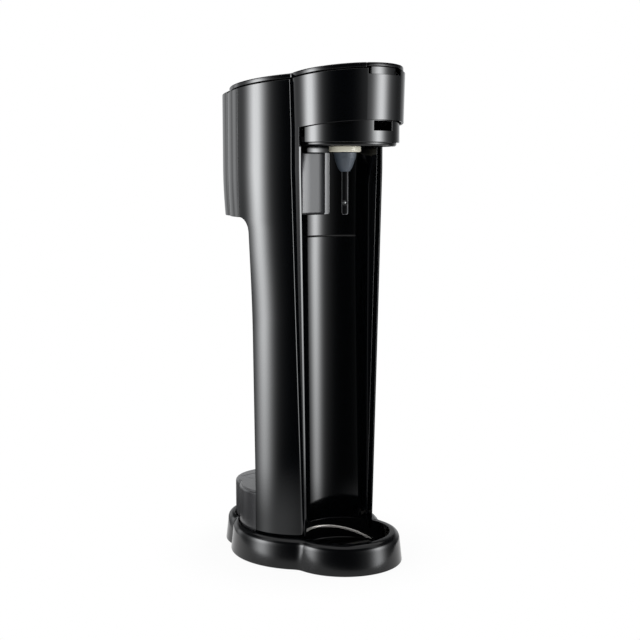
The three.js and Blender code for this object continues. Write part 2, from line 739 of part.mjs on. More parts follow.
// Rear cap: the crescent that closes the hood behind the lid, a little lower than the lid
const rearCap = disc(0, rearLobe.y, rearLobe.r - wall - seat, capLow, lidHeight - capDrop, fineFlats)
  .subtract(capFront);
piece('rear_cap', leaned(rearCap), glossBlack, 0.25);

// Carbonating button: a plate flush with the lid, a skirt behind the notch, two hinge arms and a push foot
const hingeDropped = lidHeight - buttonHingeDrop;
const armHigh = hingeDropped + buttonArmHeight / 2;
const buttonBottom = lidHeight - buttonThickness;
const buttonPlate = plate(lidLobes(lidInset), buttonBottom, lidHeight).intersect(block(
  [-buttonHalfWidth, -reach, 0],
  [buttonHalfWidth, -buttonRear, lidHeight + overrun],
));
const skirtRadius = headFrontRadius - wall - buttonGap;
const skirt = disc(0, 0, skirtRadius, buttonBottom - skirtDepth, buttonBottom + wall / 2, fineFlats)
  .subtract(disc(0, 0, skirtRadius - skirtWall, 0, lidHeight, fineFlats))
  .intersect(block([-skirtHalfWidth, -reach, 0], [skirtHalfWidth, 0, lidHeight]));
let button = leaned(buttonPlate.add(skirt));
const hingeHeight = lidAt(buttonHingeY) - buttonHingeDrop;
for (const side of [-1, 1]) {
  const middle = side * buttonArmX;
  const armRear = buttonHingeY + buttonArmHeight / 2;
  const low = [middle - buttonArmWidth / 2, pushY, armHigh - buttonArmHeight];
  const arm = block(low, [middle + buttonArmWidth / 2, armRear, armHigh]);
  const root = block(low, [middle + buttonArmWidth / 2, -buttonRear - wall, buttonBottom + wall / 2]);
  button = button.add(leaned(arm.add(root)));
}
const pushHeight = rockerHigh + seat + pushRadius;
button = button
  .add(crossPin(pushRadius, -pushHalfWidth, pushHalfWidth, pushY, pushHeight))
  .add(block([-pushHalfWidth, pushY - pushRadius, pushHeight], [pushHalfWidth, pushY + pushRadius, lidAt(pushY) - wall]))
  .subtract(crossPin(smallPinRadius + pinFit, -buttonHalfWidth, buttonHalfWidth, buttonHingeY, hingeHeight));
piece('carbonating_button', button, glossBlack, 0.2);

// Frame plate: the deck across the head that carries every pivot
const earInner = buttonArmX + buttonArmWidth / 2 + buttonGap;
const earOuter = earInner + earThickness;
const collarEarReach = collarRadius - collarWall - collarEarGap;
const collarEarX = Math.sqrt(collarEarReach ** 2 - (collarPivotY - earHalfDepth) ** 2) - earThickness / 2;
const holderEarX = cheekX + (cheekThickness + earThickness) / 2 + cheekGap;
const deckFront = collarPivotY - earHalfDepth - deckFrontOver;
const deckRear = rockerPinY + earHalfDepth + deckRearOver;
const rockerPinHeight = rockerLow + rockerThickness / 2;
const rockerEarInner = rockerHalfWidth + buttonGap * 2;
const rockerEarOuter = rockerEarInner + earThickness;
let frame = plate(bodyOutline(shoulderHeight, wall + seat), deckLow, deckHigh)
  .intersect(block([-reach, deckFront, 0], [reach, deckRear, lidHeight]));
function ear(centre, y, low, high) {
  return block([centre - earThickness / 2, y - earHalfDepth, low], [centre + earThickness / 2, y + earHalfDepth, high]);
}
const earOver = smallPinRadius + wall / 2;
for (const side of [-1, 1]) {
  frame = frame
    .add(ear(side * (earInner + earOuter) / 2, buttonHingeY, deckLow, hingeHeight + earOver))
    .add(ear(side * (rockerEarInner + rockerEarOuter) / 2, rockerPinY, deckLow, rockerPinHeight + earOver))
    .add(ear(side * collarEarX, collarPivotY, pivotHeight - earHalfDepth, deckHigh))
    .add(ear(side * holderEarX, cylinderY, pivotHeight - earHalfDepth, deckHigh))
    .subtract(disc(side * frameBossX, frameBossY, screwRadius + pinFit, 0, lidHeight, smallFlats));
}
frame = frame
  .subtract(crossPin(smallPinRadius + pinFit, -reach, reach, buttonHingeY, hingeHeight))
  .subtract(crossPin(smallPinRadius + pinFit, -reach, reach, rockerPinY, rockerPinHeight))
  .subtract(crossPin(collarPinRadius + pinFit, -reach, reach, collarPivotY, pivotHeight))
  .subtract(crossPin(holderPinRadius + pinFit, -reach, reach, cylinderY, pivotHeight))
  .subtract(disc(0, cylinderY, plungerRadius + pinFit, 0, lidHeight, smallFlats));
piece('mechanism_frame', frame, '#2b2c2e', 0.6);

const sides = [['left', -1], ['right', 1]];
for (const [name, side] of sides) {
  const head = deckHigh + screwHeadHeight;
  piece(`frame_screw_${name}`, screw(side * frameBossX, frameBossY, head, -1, frameBossHeight / 2), steel, 0.35, 1);
}

piece('button_pin', crossPin(smallPinRadius, -earOuter, earOuter, buttonHingeY, hingeHeight), steel, 0.3, 1);
piece('rocker_pin', crossPin(smallPinRadius, -rockerEarOuter, rockerEarOuter, rockerPinY, rockerPinHeight), steel, 0.3, 1);

// Rocker: the long lever from the button to the plunger, hung at the rear
const rockerFront = pushY - pushRadius;
const rocker = block([-rockerHalfWidth, rockerFront, rockerLow], [rockerHalfWidth, rockerRear, rockerHigh])
  .subtract(crossPin(smallPinRadius + pinFit, -reach, reach, rockerPinY, rockerPinHeight));
piece('valve_rocker', rocker, '#36383a', 0.6);

// Return spring: a coil of wire between the frame plate and the rocker
class Helix extends THREE.Curve {
  constructor(radius, low, high, turns) {
    super();
    Object.assign(this, { radius, low, high, turns });
  }

  getPoint(t, target = new THREE.Vector3()) {
    const angle = 2 * Math.PI * this.turns * t;
    return target.set(this.radius * Math.cos(angle), this.radius * Math.sin(angle), lerp(this.low, this.high, t));
  }
}

function tube(path, radius, steps, sides) {
  const section = new THREE.Shape(arc(0, 0, radius, 0, 2 * Math.PI, sides));
  return solid(new THREE.ExtrudeGeometry(section, { steps, extrudePath: path, bevelEnabled: false }));
}

const coilEnd = seat + springWire * 2;
const coil = new Helix(springRadius, deckHigh + coilEnd, rockerLow - coilEnd, springTurns);
const spring = geometryOf(tube(coil, springWire, springTurns * coilFlats, wireFlats)).translate(0, springY, 0);
piece('rocker_spring', solid(spring), steel, 0.3, 1);

// Plunger: slides in the frame plate, from the rocker down to the pin of the cylinder's valve
const plungerHigh = rockerLow - seat;
piece('valve_plunger', disc(0, cylinderY, plungerRadius, pivotHeight + seat, plungerHigh, smallFlats)
  .add(disc(0, cylinderY, plungerHeadRadius, plungerHigh - plungerHeadHeight, plungerHigh, smallFlats)), steel, 0.3, 1);

// Gas cylinder: a drawn flask with a rounded foot and a domed shoulder
const shoulderShares = [[0, 1], [0.3, 0.93], [0.6, 0.75], [0.8, 0.6]];
const cylinderFoot = blockHigh + cylinderRoom;
const cylinderShoulder = cylinderTop - cylinderDomeHeight;
const footArc = arc(cylinderRadius - cylinderFootRounding, cylinderFoot + cylinderFootRounding, cylinderFootRounding,
  0, Math.PI / 2, edgeFlats);
piece('gas_cylinder', turned([
  [0, cylinderFoot],
  ...footArc.map((p) => [p.x, p.y]),
  [cylinderRadius, cylinderFoot + cylinderFootRounding],
  ...shoulderShares.map(([up, share]) => [cylinderRadius * share, cylinderShoulder + cylinderDomeHeight * up]),
  [cylinderNeckRadius, cylinderTop],
  [0, cylinderTop],
], 0, cylinderY), '#9fa3a8', 0.35, 1);

// Cylinder valve: brass, screwed into the flask, with the thread and the nipple that go into the holder
const flangeLow = cylinderTop + seat;
const nippleHigh = valveThreadHigh + nippleLength;
const pinLow = pivotHeight - valvePinLength;
piece('cylinder_valve', turned([
  [0, flangeLow],
  [cylinderNeckRadius, flangeLow],
  [cylinderNeckRadius, flangeLow + valveFlangeHeight],
  [valveThreadRadius, flangeLow + valveFlangeHeight],
  [valveThreadRadius, valveThreadHigh],
  [nippleRadius, valveThreadHigh],
  [nippleRadius, nippleHigh],
  [valvePinRadius + pinFit, nippleHigh],
  [valvePinRadius + pinFit, pinLow - pinTravelRoom],
  [0, pinLow - pinTravelRoom],
], 0, cylinderY), '#b08d4c', 0.35, 1);
piece('valve_pin', disc(0, cylinderY, valvePinRadius, pinLow, pivotHeight, smallFlats), steel, 0.3, 1);

// Cylinder holder: the threaded cup that the valve screws into, hung on two pivots so that it tilts to the rear
const sealLow = valveThreadHigh + seat;
const sealHigh = sealLow + sealThickness;
const holderLow = flangeLow + valveFlangeHeight + seat;
const holderHigh = sealHigh + seat + holderRoof;
const holderBossHigh = nippleHigh + seat + holderBossRoof;
let holder = disc(0, cylinderY, holderRadius, holderLow, holderHigh)
  .add(disc(0, cylinderY, holderBossRadius, holderLow, holderBossHigh, smallFlats));
for (const side of [-1, 1]) {
  holder = holder.add(block(
    [side * cheekX - cheekThickness / 2, cylinderY - earHalfDepth, holderLow + wall],
    [side * cheekX + cheekThickness / 2, cylinderY + earHalfDepth, pivotHeight + cheekTop],
  ).subtract(disc(0, cylinderY, valveThreadRadius + pinFit, 0, holderHigh)));
}
holder = holder
  .subtract(disc(0, cylinderY, valveThreadRadius + pinFit, 0, sealHigh + seat))
  .subtract(disc(0, cylinderY, nippleRadius + pinFit, 0, nippleHigh + seat, smallFlats))
  .subtract(disc(0, cylinderY, valvePinRadius + pinFit, 0, lidHeight, smallFlats))
  .subtract(crossPin(holderPinRadius + pinFit, -reach, reach, cylinderY, pivotHeight));
piece('cylinder_holder', holder, '#3a3c3f', 0.5);
piece('holder_seal', disc(0, cylinderY, valveThreadRadius, sealLow, sealHigh)
  .subtract(disc(0, cylinderY, nippleRadius + pinFit, 0, lidHeight, smallFlats)), rubber, 0.8);

const holderPinInner = cheekX - cheekThickness / 2;
const holderPinOuter = holderEarX + earThickness / 2;
function pivotPin(radius, inner, outer, side, y) {
  const [left, right] = [side * inner, side * outer].sort((a, b) => a - b);
  return crossPin(radius, left, right, y, pivotHeight);
}

for (const [name, side] of sides) {
  const pin = pivotPin(holderPinRadius, holderPinInner, holderPinOuter, side, cylinderY);
  piece(`holder_pivot_pin_${name}`, pin, steel, 0.3, 1);
}

// Gas pipe: from the holder's hollow pivot to the swivel over the nozzle, so that neither tilt bends it
const corner = (x, y) => new THREE.Vector3(x, y, pivotHeight);
const pipePath = new THREE.CurvePath();
const pipeSide = collarEarX - pipeInset; // how far to the right it runs
const pipeStart = swivelHalfLength + seat;
const pipeEnd = holderPinOuter + seat;
pipePath.add(new THREE.LineCurve3(corner(pipeStart, collarPivotY), corner(pipeSide - pipeBend, collarPivotY)));
pipePath.add(new THREE.QuadraticBezierCurve3(
  corner(pipeSide - pipeBend, collarPivotY),
  corner(pipeSide, collarPivotY),
  corner(pipeSide, collarPivotY + pipeBend),
));
pipePath.add(new THREE.LineCurve3(corner(pipeSide, collarPivotY + pipeBend), corner(pipeSide, cylinderY - pipeBend)));
pipePath.add(new THREE.QuadraticBezierCurve3(
  corner(pipeSide, cylinderY - pipeBend),
  corner(pipeSide, cylinderY),
  corner((pipeSide + pipeEnd) / 2, cylinderY),
));
pipePath.add(new THREE.LineCurve3(corner((pipeSide + pipeEnd) / 2, cylinderY), corner(pipeEnd, cylinderY)));
piece('gas_pipe', tube(pipePath, pipeRadius, roundFlats, coilFlats), '#c9cbcd', 0.5);

// Bottle collar: the half drum under the head with its window, tilting on two side pivots
const collarHigh = pivotHeight + collarOver;
const windowLow = collarLow + windowSill;
const collarCut = block([-reach, collarRear, 0], [reach, reach, lidHeight]);
const collar = disc(0, 0, collarRadius, collarLow, collarHigh, fineFlats)
  .subtract(disc(0, 0, collarRadius - collarWall, 0, lidHeight, fineFlats))
  .subtract(collarCut)
  .subtract(block([-windowHalfWidth, -reach, windowLow], [windowHalfWidth, 0, windowLow + windowHeight]))
  .subtract(crossPin(collarPinRadius + pinFit, -reach, reach, collarPivotY, pivotHeight));
piece('bottle_collar', collar, glossBlack, 0.15);

const collarPinInner = collarEarX - earThickness / 2 - seat;
const collarPinOuter = collarRadius - seat;
for (const [name, side] of sides) {
  const pin = pivotPin(collarPinRadius, collarPinInner, collarPinOuter, side, collarPivotY);
  piece(`collar_pivot_pin_${name}`, pin, steel, 0.3, 1);
}

// Inner collar: the chamfered ring inside the drum that steadies the bottle's shoulder
const innerRadius = collarRadius - collarWall - seat;
const innerCollarHigh = collarLow;
const innerCollarLow = innerCollarHigh - innerCollarHeight;
const innerCollar = turned([
  [innerRadius - innerCollarWall, innerCollarLow],
  [innerRadius - innerCollarChamfer, innerCollarLow],
  [innerRadius, innerCollarLow + innerCollarChamfer],
  [innerRadius, innerCollarHigh],
  [innerRadius - innerCollarWall, innerCollarHigh],
  [innerRadius - innerCollarWall, innerCollarLow],
], 0, 0, fineFlats).subtract(block([-reach, innerCollarRear, 0], [reach, reach, lidHeight]));
piece('inner_collar', innerCollar, satinBlack, 0.3);

// Nozzle plate: closes the drum and carries the nozzle below and the gas swivel above
const nozzlePlateLow = innerCollarHigh + seat;
const nozzlePlateHigh = nozzlePlateLow + nozzlePlateThickness;
const nozzlePlate = disc(0, 0, innerRadius, nozzlePlateLow, nozzlePlateHigh, fineFlats)
  .subtract(block([-reach, innerCollarRear, 0], [reach, reach, lidHeight]))
  .add(disc(0, 0, nozzleBossRadius, nozzleRingHigh + seat, nozzlePlateHigh))
  .add(crossPin(swivelRadius, -swivelHalfLength, swivelHalfLength, collarPivotY, pivotHeight))
  .add(block([-swivelHalfLength, collarPivotY - swivelRadius / 2, nozzlePlateLow],
    [swivelHalfLength, collarPivotY + swivelRadius / 2, pivotHeight]));
piece('nozzle_plate', nozzlePlate, satinBlack, 0.5);
piece('relief_valve', disc(reliefX, reliefY, reliefRadius, nozzlePlateHigh + seat, nozzlePlateHigh + reliefHeight,
  smallFlats), '#2c2d2f', 0.5);

// Nozzle: a pale ring, a soft cup that seals the bottle's mouth and the tube that goes into the water
piece('nozzle_ring', disc(0, 0, nozzleRingRadius, nozzleRingLow, nozzleRingHigh)
  .subtract(disc(0, 0, nozzleRingBore, 0, lidHeight, smallFlats)), '#d8d5c4', 0.5);
const cupHigh = nozzleRingLow - seat;
const cupLow = nozzleRingLow - cupHeight;
const cupShares = [[0, 0], [0.35, 0.12], [0.6, 0.4], [0.82, 0.7], [1, 1]];
piece('nozzle_cup', turned([
  [tubeRadius + pinFit, cupLow],
  ...cupShares.map(([out, up]) => [
    lerp(cupTipRadius, cupRadius, out),
    lerp(cupLow, cupHigh - cupMouthHeight, up),
  ]),
  [cupRadius, cupHigh],
  [tubeRadius + pinFit, cupHigh],
  [tubeRadius + pinFit, cupLow],
], 0, 0), '#4b535c', 0.5);
const tubeHigh = nozzleRingHigh;
const tubeLow = cupLow - tubeReach;
const slotLow = tubeLow + slotRise;
const nozzleTube = turned([
  [tubeBore, tubeLow + tubeRadius],
  [tubeBore, tubeLow],
  [tubeRadius / 2, tubeLow],
  [tubeRadius, tubeLow + tubeRadius / 2],
  [tubeRadius, tubeHigh],
  [tubeBore, tubeHigh],
  [tubeBore, tubeLow + tubeRadius],
], 0, 0, smallFlats).subtract(block([-slotHalfWidth, -reach, slotLow], [slotHalfWidth, reach, slotLow + slotHeight]));
piece('nozzle_tube', nozzleTube, '#1d2023', 0.3);

// The origin is the middle of the footprint
const frontReach = -baseFrontRadius;
const rearReach = Math.max(hoodRear, baseRearCentre + baseRearRadius);
model.children.forEach((mesh) => mesh.geometry.translate(0, -(frontReach + rearReach) / 2, 0));

export default model;
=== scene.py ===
# Soda siphon: the looks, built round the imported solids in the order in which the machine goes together.
# Pieces are drawn in millimetres round the bottle's axis, front to -Y, and brought into the frame as they are made.
import math

import bmesh
import bpy
from mathutils import Matrix, Vector


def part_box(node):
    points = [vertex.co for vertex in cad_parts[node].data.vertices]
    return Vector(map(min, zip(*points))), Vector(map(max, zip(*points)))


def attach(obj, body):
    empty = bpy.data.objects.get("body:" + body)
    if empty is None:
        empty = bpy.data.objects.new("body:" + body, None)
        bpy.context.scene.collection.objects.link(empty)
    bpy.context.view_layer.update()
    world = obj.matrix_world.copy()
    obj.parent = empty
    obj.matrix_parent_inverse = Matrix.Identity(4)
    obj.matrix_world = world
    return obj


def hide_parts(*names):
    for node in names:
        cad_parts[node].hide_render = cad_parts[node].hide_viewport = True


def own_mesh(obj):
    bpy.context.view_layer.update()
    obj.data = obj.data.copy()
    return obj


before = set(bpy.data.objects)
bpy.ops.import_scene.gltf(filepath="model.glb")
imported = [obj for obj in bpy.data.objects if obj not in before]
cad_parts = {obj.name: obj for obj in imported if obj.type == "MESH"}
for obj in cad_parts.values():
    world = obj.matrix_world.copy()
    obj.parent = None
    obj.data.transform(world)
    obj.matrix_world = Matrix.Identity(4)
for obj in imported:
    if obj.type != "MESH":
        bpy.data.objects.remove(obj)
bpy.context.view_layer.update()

# Camera: a long lens in front of the machine and to its left, a little above the middle of the column, which looks
# down by seven degrees.
azimuth, pitch = math.radians(-43.0), math.radians(7.11)
lens = bpy.data.cameras.new("photo_camera")
lens.sensor_width, lens.lens = 36.0, 68.66
camera = bpy.data.objects.new("photo_camera", lens)
bpy.context.collection.objects.link(camera)
away = Vector((math.sin(azimuth) * math.cos(pitch), -math.cos(azimuth) * math.cos(pitch), math.sin(pitch)))
camera.location = (-0.72369, -0.78815, 0.34078)
camera.rotation_euler = (-away).to_track_quat("-Z", "Y").to_euler()
bpy.context.scene.camera = camera

# Base shell: a moulded foot of black plastic with a satin face, flared to the table. It has a bowl for the tray
# in front and a socket behind, in which the column stands.
axis_y = sum(corner[1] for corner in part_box("nozzle_tube")) / 2
foot_lobes, foot_creases, plan_steps = ((0.0, 50.8), (48.7, 68.2), (89.7, 46.9)), (12.0, 2.0), (18, 3, 6, 24, 3, 18)
sole, sole_inset, recess, recess_inset, edge_top = 0.31, 0.42, 4.0, 2.6, 0.9
base_height, rim_inset, rim_lean, rim_shoulder, rim_clear = 25.8, 7.0, 2.03, 19.1, 0.3
socket_gap, bowl_radius, bowl_floor, bowl_round, bowl_ring = 0.8, 40.0, 6.3, 2.0, 1.8
stand_height, waist_height, full_height, seam_height, lid_height = 20.0, 200.0, 340.0, 373.9, 419.8
front_radius, head_swell, front_crease, rear_crease, side_front = (41.3, 49.2), 1.1, (2.5, 0.7), 2.0, (5.8, 3.4)
middle_centre, middle_radius, rear_centre, rear_radius = (52.0, 57.5), (58.6, 62.5), (83.0, 89.6), (42.0, 46.8)


def lerp(low, high, share):
    return low + (high - low) * share


def share_of(z, low, high):
    return min(max((z - low) / (high - low), 0.0), 1.0)


def on_lobe(lobe, angle):
    """A place on a round lobe (its centre's y, its radius), the angle counted from the front towards +X."""
    return Vector((lobe[1] * math.sin(angle), lobe[0] - lobe[1] * math.cos(angle), 0.0))


def sweep(lobe, start, end, steps, close=False):
    """Places along a lobe, without the last one unless it closes the line."""
    return [on_lobe(lobe, lerp(start, end, k / steps)) for k in range(steps + close)]


def angle_at(lobe, y):
    return math.acos((lobe[0] - y) / lobe[1])


def crease_between(front, rear, radius):
    """Where the hollow arc between two lobes has its centre, leaves the one and joins the other."""
    near, far, apart = front[1] + radius, rear[1] + radius, rear[0] - front[0]
    along = (near**2 - far**2 + apart**2) / (2 * apart)
    x, y = math.sqrt(near**2 - along**2), front[0] + along
    return x, y, radius, math.atan2(x, front[0] - y), math.atan2(x, rear[0] - y)


def along_crease(front, rear, crease, steps):
    x, y, radius = crease[:3]
    start, end = math.atan2(-x, y - front[0]), math.atan2(-x, y - rear[0])
    angles = [lerp(start, end, k / steps) for k in range(steps)]
    return [Vector((x + radius * math.sin(a), y - radius * math.cos(a), 0.0)) for a in angles]


def half_plan(lobes, creases, stop, steps):
    """Half the plan of three lobes in a row, front to rear, with a place of its own at the angle stop."""
    front, middle, rear = lobes
    first, second = crease_between(front, middle, creases[0]), crease_between(middle, rear, creases[1])
    return (
        sweep(front, 0.0, stop, steps[0])
        + sweep(front, stop, first[3], steps[1])
        + along_crease(front, middle, first, steps[2])
        + sweep(middle, first[4], second[3], steps[3])
        + along_crease(middle, rear, second, steps[4])
        + sweep(rear, second[4], math.pi, steps[5], True)
    )


def smaller(lobes, creases, inset):
    return [(y, r - inset) for y, r in lobes], [r + inset for r in creases]


def column_lobes(z):
    """The column's three lobes and two creases at a height: drafted in front, waisted at the sides."""
    draft, flare = share_of(z, stand_height, full_height), share_of(z, waist_height, full_height)
    flare = flare * flare * (3.0 - 2.0 * flare)
    front = lerp(*front_radius, draft) + head_swell * share_of(z, seam_height, lid_height)
    middle = (lerp(*middle_centre, flare), lerp(*middle_radius, flare))
    rear = (lerp(*rear_centre, flare), lerp(*rear_radius, flare))
    return ((0.0, front), middle, rear), (lerp(*front_crease, draft), rear_crease)


def corner_y(z):
    """How far forward the column's side walls reach at a height."""
    return lerp(*side_front, share_of(z, stand_height, full_height))


def at_height(places, z):
    return [Vector((p.x, p.y, z)) for p in places]


def verts_among(parts):
    return {part for part in parts if isinstance(part, bmesh.types.BMVert)}


def skin(bm, rows):
    """Extrudes the first row's line through the other rows and returns the vertices of each row."""
    line = [bm.verts.new(place) for place in rows[0]]
    edges = [bm.edges.new(pair) for pair in zip(line, line[1:])]
    made = [line]
    for row in rows[1:]:
        risen = verts_among(bmesh.ops.extrude_edge_only(bm, edges=edges)["geom"])
        line = [next(e.other_vert(v) for e in v.link_edges if e.other_vert(v) in risen) for v in line]
        for vert, place in zip(line, row):
            vert.co = place
        edges = [bm.edges.get(pair) for pair in zip(line, line[1:])]
        made.append(line)
    return made


def both_halves(bm):
    bmesh.ops.mirror(bm, geom=bm.verts[:] + bm.edges[:] + bm.faces[:], axis="X", merge_dist=0.01)
    bmesh.ops.remove_doubles(bm, verts=bm.verts[:], dist=0.005)


def close_ring(bm, on_it):
    """Fills an open ring, whose edges are the open ones that start on it."""
    bmesh.ops.contextual_create(bm, geom=[e for e in bm.edges if e.is_boundary and on_it(e.verts[0].co)])


def set_piece(bm, name, body, look, nodes=(), wall=0.0, rounding=0.0, steps=3, soft=35):
    """Brings a finished shape into the frame, gives it a wall and rounded edges, and lets it ride and stand in."""
    bmesh.ops.scale(bm, vec=(0.001,) * 3, verts=bm.verts[:])
    bmesh.ops.translate(bm, vec=(0.0, axis_y, 0.0), verts=bm.verts[:])
    mesh = bpy.data.meshes.new(name)
    bm.to_mesh(mesh)
    bm.free()
    mesh.shade_smooth()
    mesh.set_sharp_from_angle(angle=math.radians(soft))
    mesh.materials.append(look)
    piece = bpy.data.objects.new(name, mesh)
    bpy.context.collection.objects.link(piece)
    if wall:
        thick = piece.modifiers.new("wall", "SOLIDIFY")
        thick.thickness, thick.offset = wall * 0.001, -1.0
        thick.use_even_offset = True
    if rounding:
        edge = piece.modifiers.new("rounding", "BEVEL")
        edge.width, edge.segments = rounding * 0.001, steps
        edge.limit_method, edge.angle_limit = "ANGLE", math.radians(40.0)
        edge.use_clamp_overlap = False
        even = piece.modifiers.new("even_light", "WEIGHTED_NORMAL")
        even.keep_sharp = False
    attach(piece, body)
    if nodes:
        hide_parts(*nodes)
    return piece


class Wire:
    """A socket among a look's nodes, so that its maths can be written as an expression."""

    def __init__(self, tree, socket=None):
        self.tree, self.socket = tree, socket

    def feed(self, node, sockets):
        for key, value in sockets.items():
            if isinstance(value, Wire):
                self.tree.links.new(value.socket, node.inputs[key])
            else:
                node.inputs[key].default_value = value

    def add(self, kind, settings, sockets, output=0):
        node = self.tree.nodes.new(kind)
        for key, value in settings.items():
            setattr(node, key, value)
        self.feed(node, sockets)
        return Wire(self.tree, node.outputs[output])

    def maths(self, operation, first, second):
        return self.add("ShaderNodeMath", {"operation": operation}, {0: first, 1: second})

    def __add__(self, other):
        return self.maths("ADD", self, other)

    def __sub__(self, other):
        return self.maths("SUBTRACT", self, other)

    def __rsub__(self, other):
        return self.maths("SUBTRACT", other, self)

    def __mul__(self, other):
        return self.maths("MULTIPLY", self, other)

    __radd__, __rmul__ = __add__, __mul__


def noise(place, scale, detail=3.0, roughness=0.55):
    sockets = {"Vector": place, "Scale": scale, "Detail": detail, "Roughness": roughness}
    return place.add("ShaderNodeTexNoise", {}, sockets)


def blend_colours(share, first, second):
    colours = {0: share, 6: (*first, 1.0), 7: (*second, 1.0)}
    return share.add("ShaderNodeMix", {"data_type": "RGBA"}, colours, 2)


def look_parts(look):
    """A look's shader, and the object coordinates of the piece that it is on."""
    place = Wire(look.node_tree).add("ShaderNodeTexCoord", {}, {}, "Object")
    return look.node_tree.nodes["Principled BSDF"], place


def new_look(name):
    look = bpy.data.materials.new(name)
    look.use_nodes = True
    return look, *look_parts(look)


def moulded_plastic(name, dark, pale, gloss, haze, grain, depth, shine=0.5):
    """Plastic as the mould leaves it: clouds in its gloss and colour, and a grain that breaks the reflections."""
    look, shader, place = new_look(name)
    cloud = noise(place, 22.0, detail=4.0)
    smear = noise(place, 75.0, roughness=0.7)
    fine = noise(place, grain, detail=2.0)
    relief = {"Strength": 1.0, "Distance": depth * 0.001, "Height": fine + cloud * 0.4}
    place.feed(shader, {
        "Base Color": blend_colours(cloud * 0.7 + fine * 0.3, dark, pale),
        "Roughness": gloss + haze * (cloud * 0.6 + smear * 0.4),
        "Specular IOR Level": shine,
        "Normal": place.add("ShaderNodeBump", {}, relief),
    })
    return look


def rim_z(inset):
    """The height of the foot's face at a distance in from its outer line: a quarter of an ellipse, then level."""
    if inset >= rim_inset:
        return base_height
    drop = ((rim_inset - inset) / (rim_inset - rim_lean)) ** 2
    return rim_shoulder + (base_height - rim_shoulder) * math.sqrt(1.0 - drop)


column_foot, column_foot_creases = column_lobes(stand_height)
stop = angle_at(column_foot[0], corner_y(stand_height))
directions = [math.atan2(p.x, -p.y) for p in half_plan(column_foot, column_foot_creases, stop, plan_steps)]
directions[0], directions[-1] = 0.0, math.pi


def foot_line(inset):
    return half_plan(*smaller(foot_lobes, foot_creases, inset), stop, plan_steps)


def bowl_line(radius):
    return [on_lobe((0.0, radius), angle) for angle in directions]


# In front the foot falls straight into the bowl. Behind, it falls into the socket, out of which the bowl's wall
# stands up as a ring.
open_steps, ring_starts = plan_steps[0], sum(plan_steps[:3])
outer_line, rim_line, bowl_edge = foot_line(0.0), foot_line(rim_inset), bowl_line(bowl_radius)
socket_line = half_plan(*smaller(column_foot, column_foot_creases, -socket_gap), stop, plan_steps)
inner_line = [p if k > open_steps else q for k, (p, q) in enumerate(zip(socket_line, bowl_edge))]
room = [min(rim_inset, (p - q).length - rim_clear) for p, q in zip(outer_line, inner_line)]
ring_line = bowl_edge[:ring_starts] + bowl_line(bowl_radius + bowl_ring)[ring_starts:]
ring_top = [base_height if k >= ring_starts else stand_height for k in range(len(directions))]
foot_rows = [at_height(foot_line(recess_inset), recess), at_height(foot_line(recess_inset), sole)]
foot_rows += [at_height(foot_line(sole_inset), sole), at_height(outer_line, edge_top)]
for share in (0.04, 0.3, 0.65, 1.0):
    foot_rows.append(at_height(foot_line(rim_lean * share), lerp(edge_top, rim_shoulder, share)))
for angle in (15, 30, 45, 60, 75, 90):
    inset = rim_inset - (rim_inset - rim_lean) * math.cos(math.radians(angle))
    insets = [min(inset, reach) for reach in room]
    places = [lerp(p, q, i / rim_inset) for p, q, i in zip(outer_line, rim_line, insets)]
    foot_rows.append([Vector((p.x, p.y, rim_z(i))) for p, i in zip(places, insets)])
foot_rows.append([Vector((p.x, p.y, rim_z(reach + rim_clear))) for p, reach in zip(inner_line, room)])
foot_rows += [at_height(inner_line, stand_height), at_height(ring_line, stand_height)]
foot_rows += [[Vector((p.x, p.y, z)) for p, z in zip(line, ring_top)] for line in (ring_line, bowl_edge)]
for inset, rise in ((0.0, bowl_round), (0.3 * bowl_round, 0.3 * bowl_round), (bowl_round, 0.0)):
    foot_rows.append(at_height(bowl_line(bowl_radius - inset), bowl_floor + rise))
foot = bmesh.new()
skin(foot, foot_rows)
both_halves(foot)
for height in (recess, bowl_floor):
    close_ring(foot, lambda at: abs(at.z - height) < 0.01)
bmesh.ops.recalc_face_normals(foot, faces=foot.faces[:])
satin_black = moulded_plastic(
    "foot_satin_black", dark=(0.0012, 0.0014, 0.0018), pale=(0.0026, 0.003, 0.0036),
    gloss=0.1, haze=0.08, grain=1400.0, depth=0.004, shine=0.32,
)
set_piece(foot, "foot_shell", "housing", satin_black, ["base_shell"], rounding=0.35, soft=50)

# Base plate, its screws and the pads: a flat cover of dull black plastic let into the foot from below, with four plain
# steel screws, and four round rubber pads pressed into it.


def dress(look, *nodes):
    """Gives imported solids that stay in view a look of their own."""
    for node in nodes:
        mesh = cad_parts[node].data
        mesh.materials.clear()
        mesh.materials.append(look)


def turned_metal(name, dark, pale, gloss, lines):
    """Metal off the lathe or the drawing bench: fine rings round it and a dull bloom between them."""
    look, shader, place = new_look(name)
    stretch = place.add("ShaderNodeMapping", {}, {"Vector": place, "Scale": (6.0, 6.0, lines)})
    ring = noise(stretch, 1.0)
    bloom = noise(place, 60.0)
    place.feed(shader, {
        "Base Color": blend_colours(ring * 0.6 + bloom * 0.4, dark, pale),
        "Roughness": gloss + 0.2 * bloom + 0.1 * ring,
        "Metallic": 1.0,
        "Normal": place.add("ShaderNodeBump", {}, {"Strength": 0.6, "Distance": 0.00002, "Height": ring}),
    })
    return look


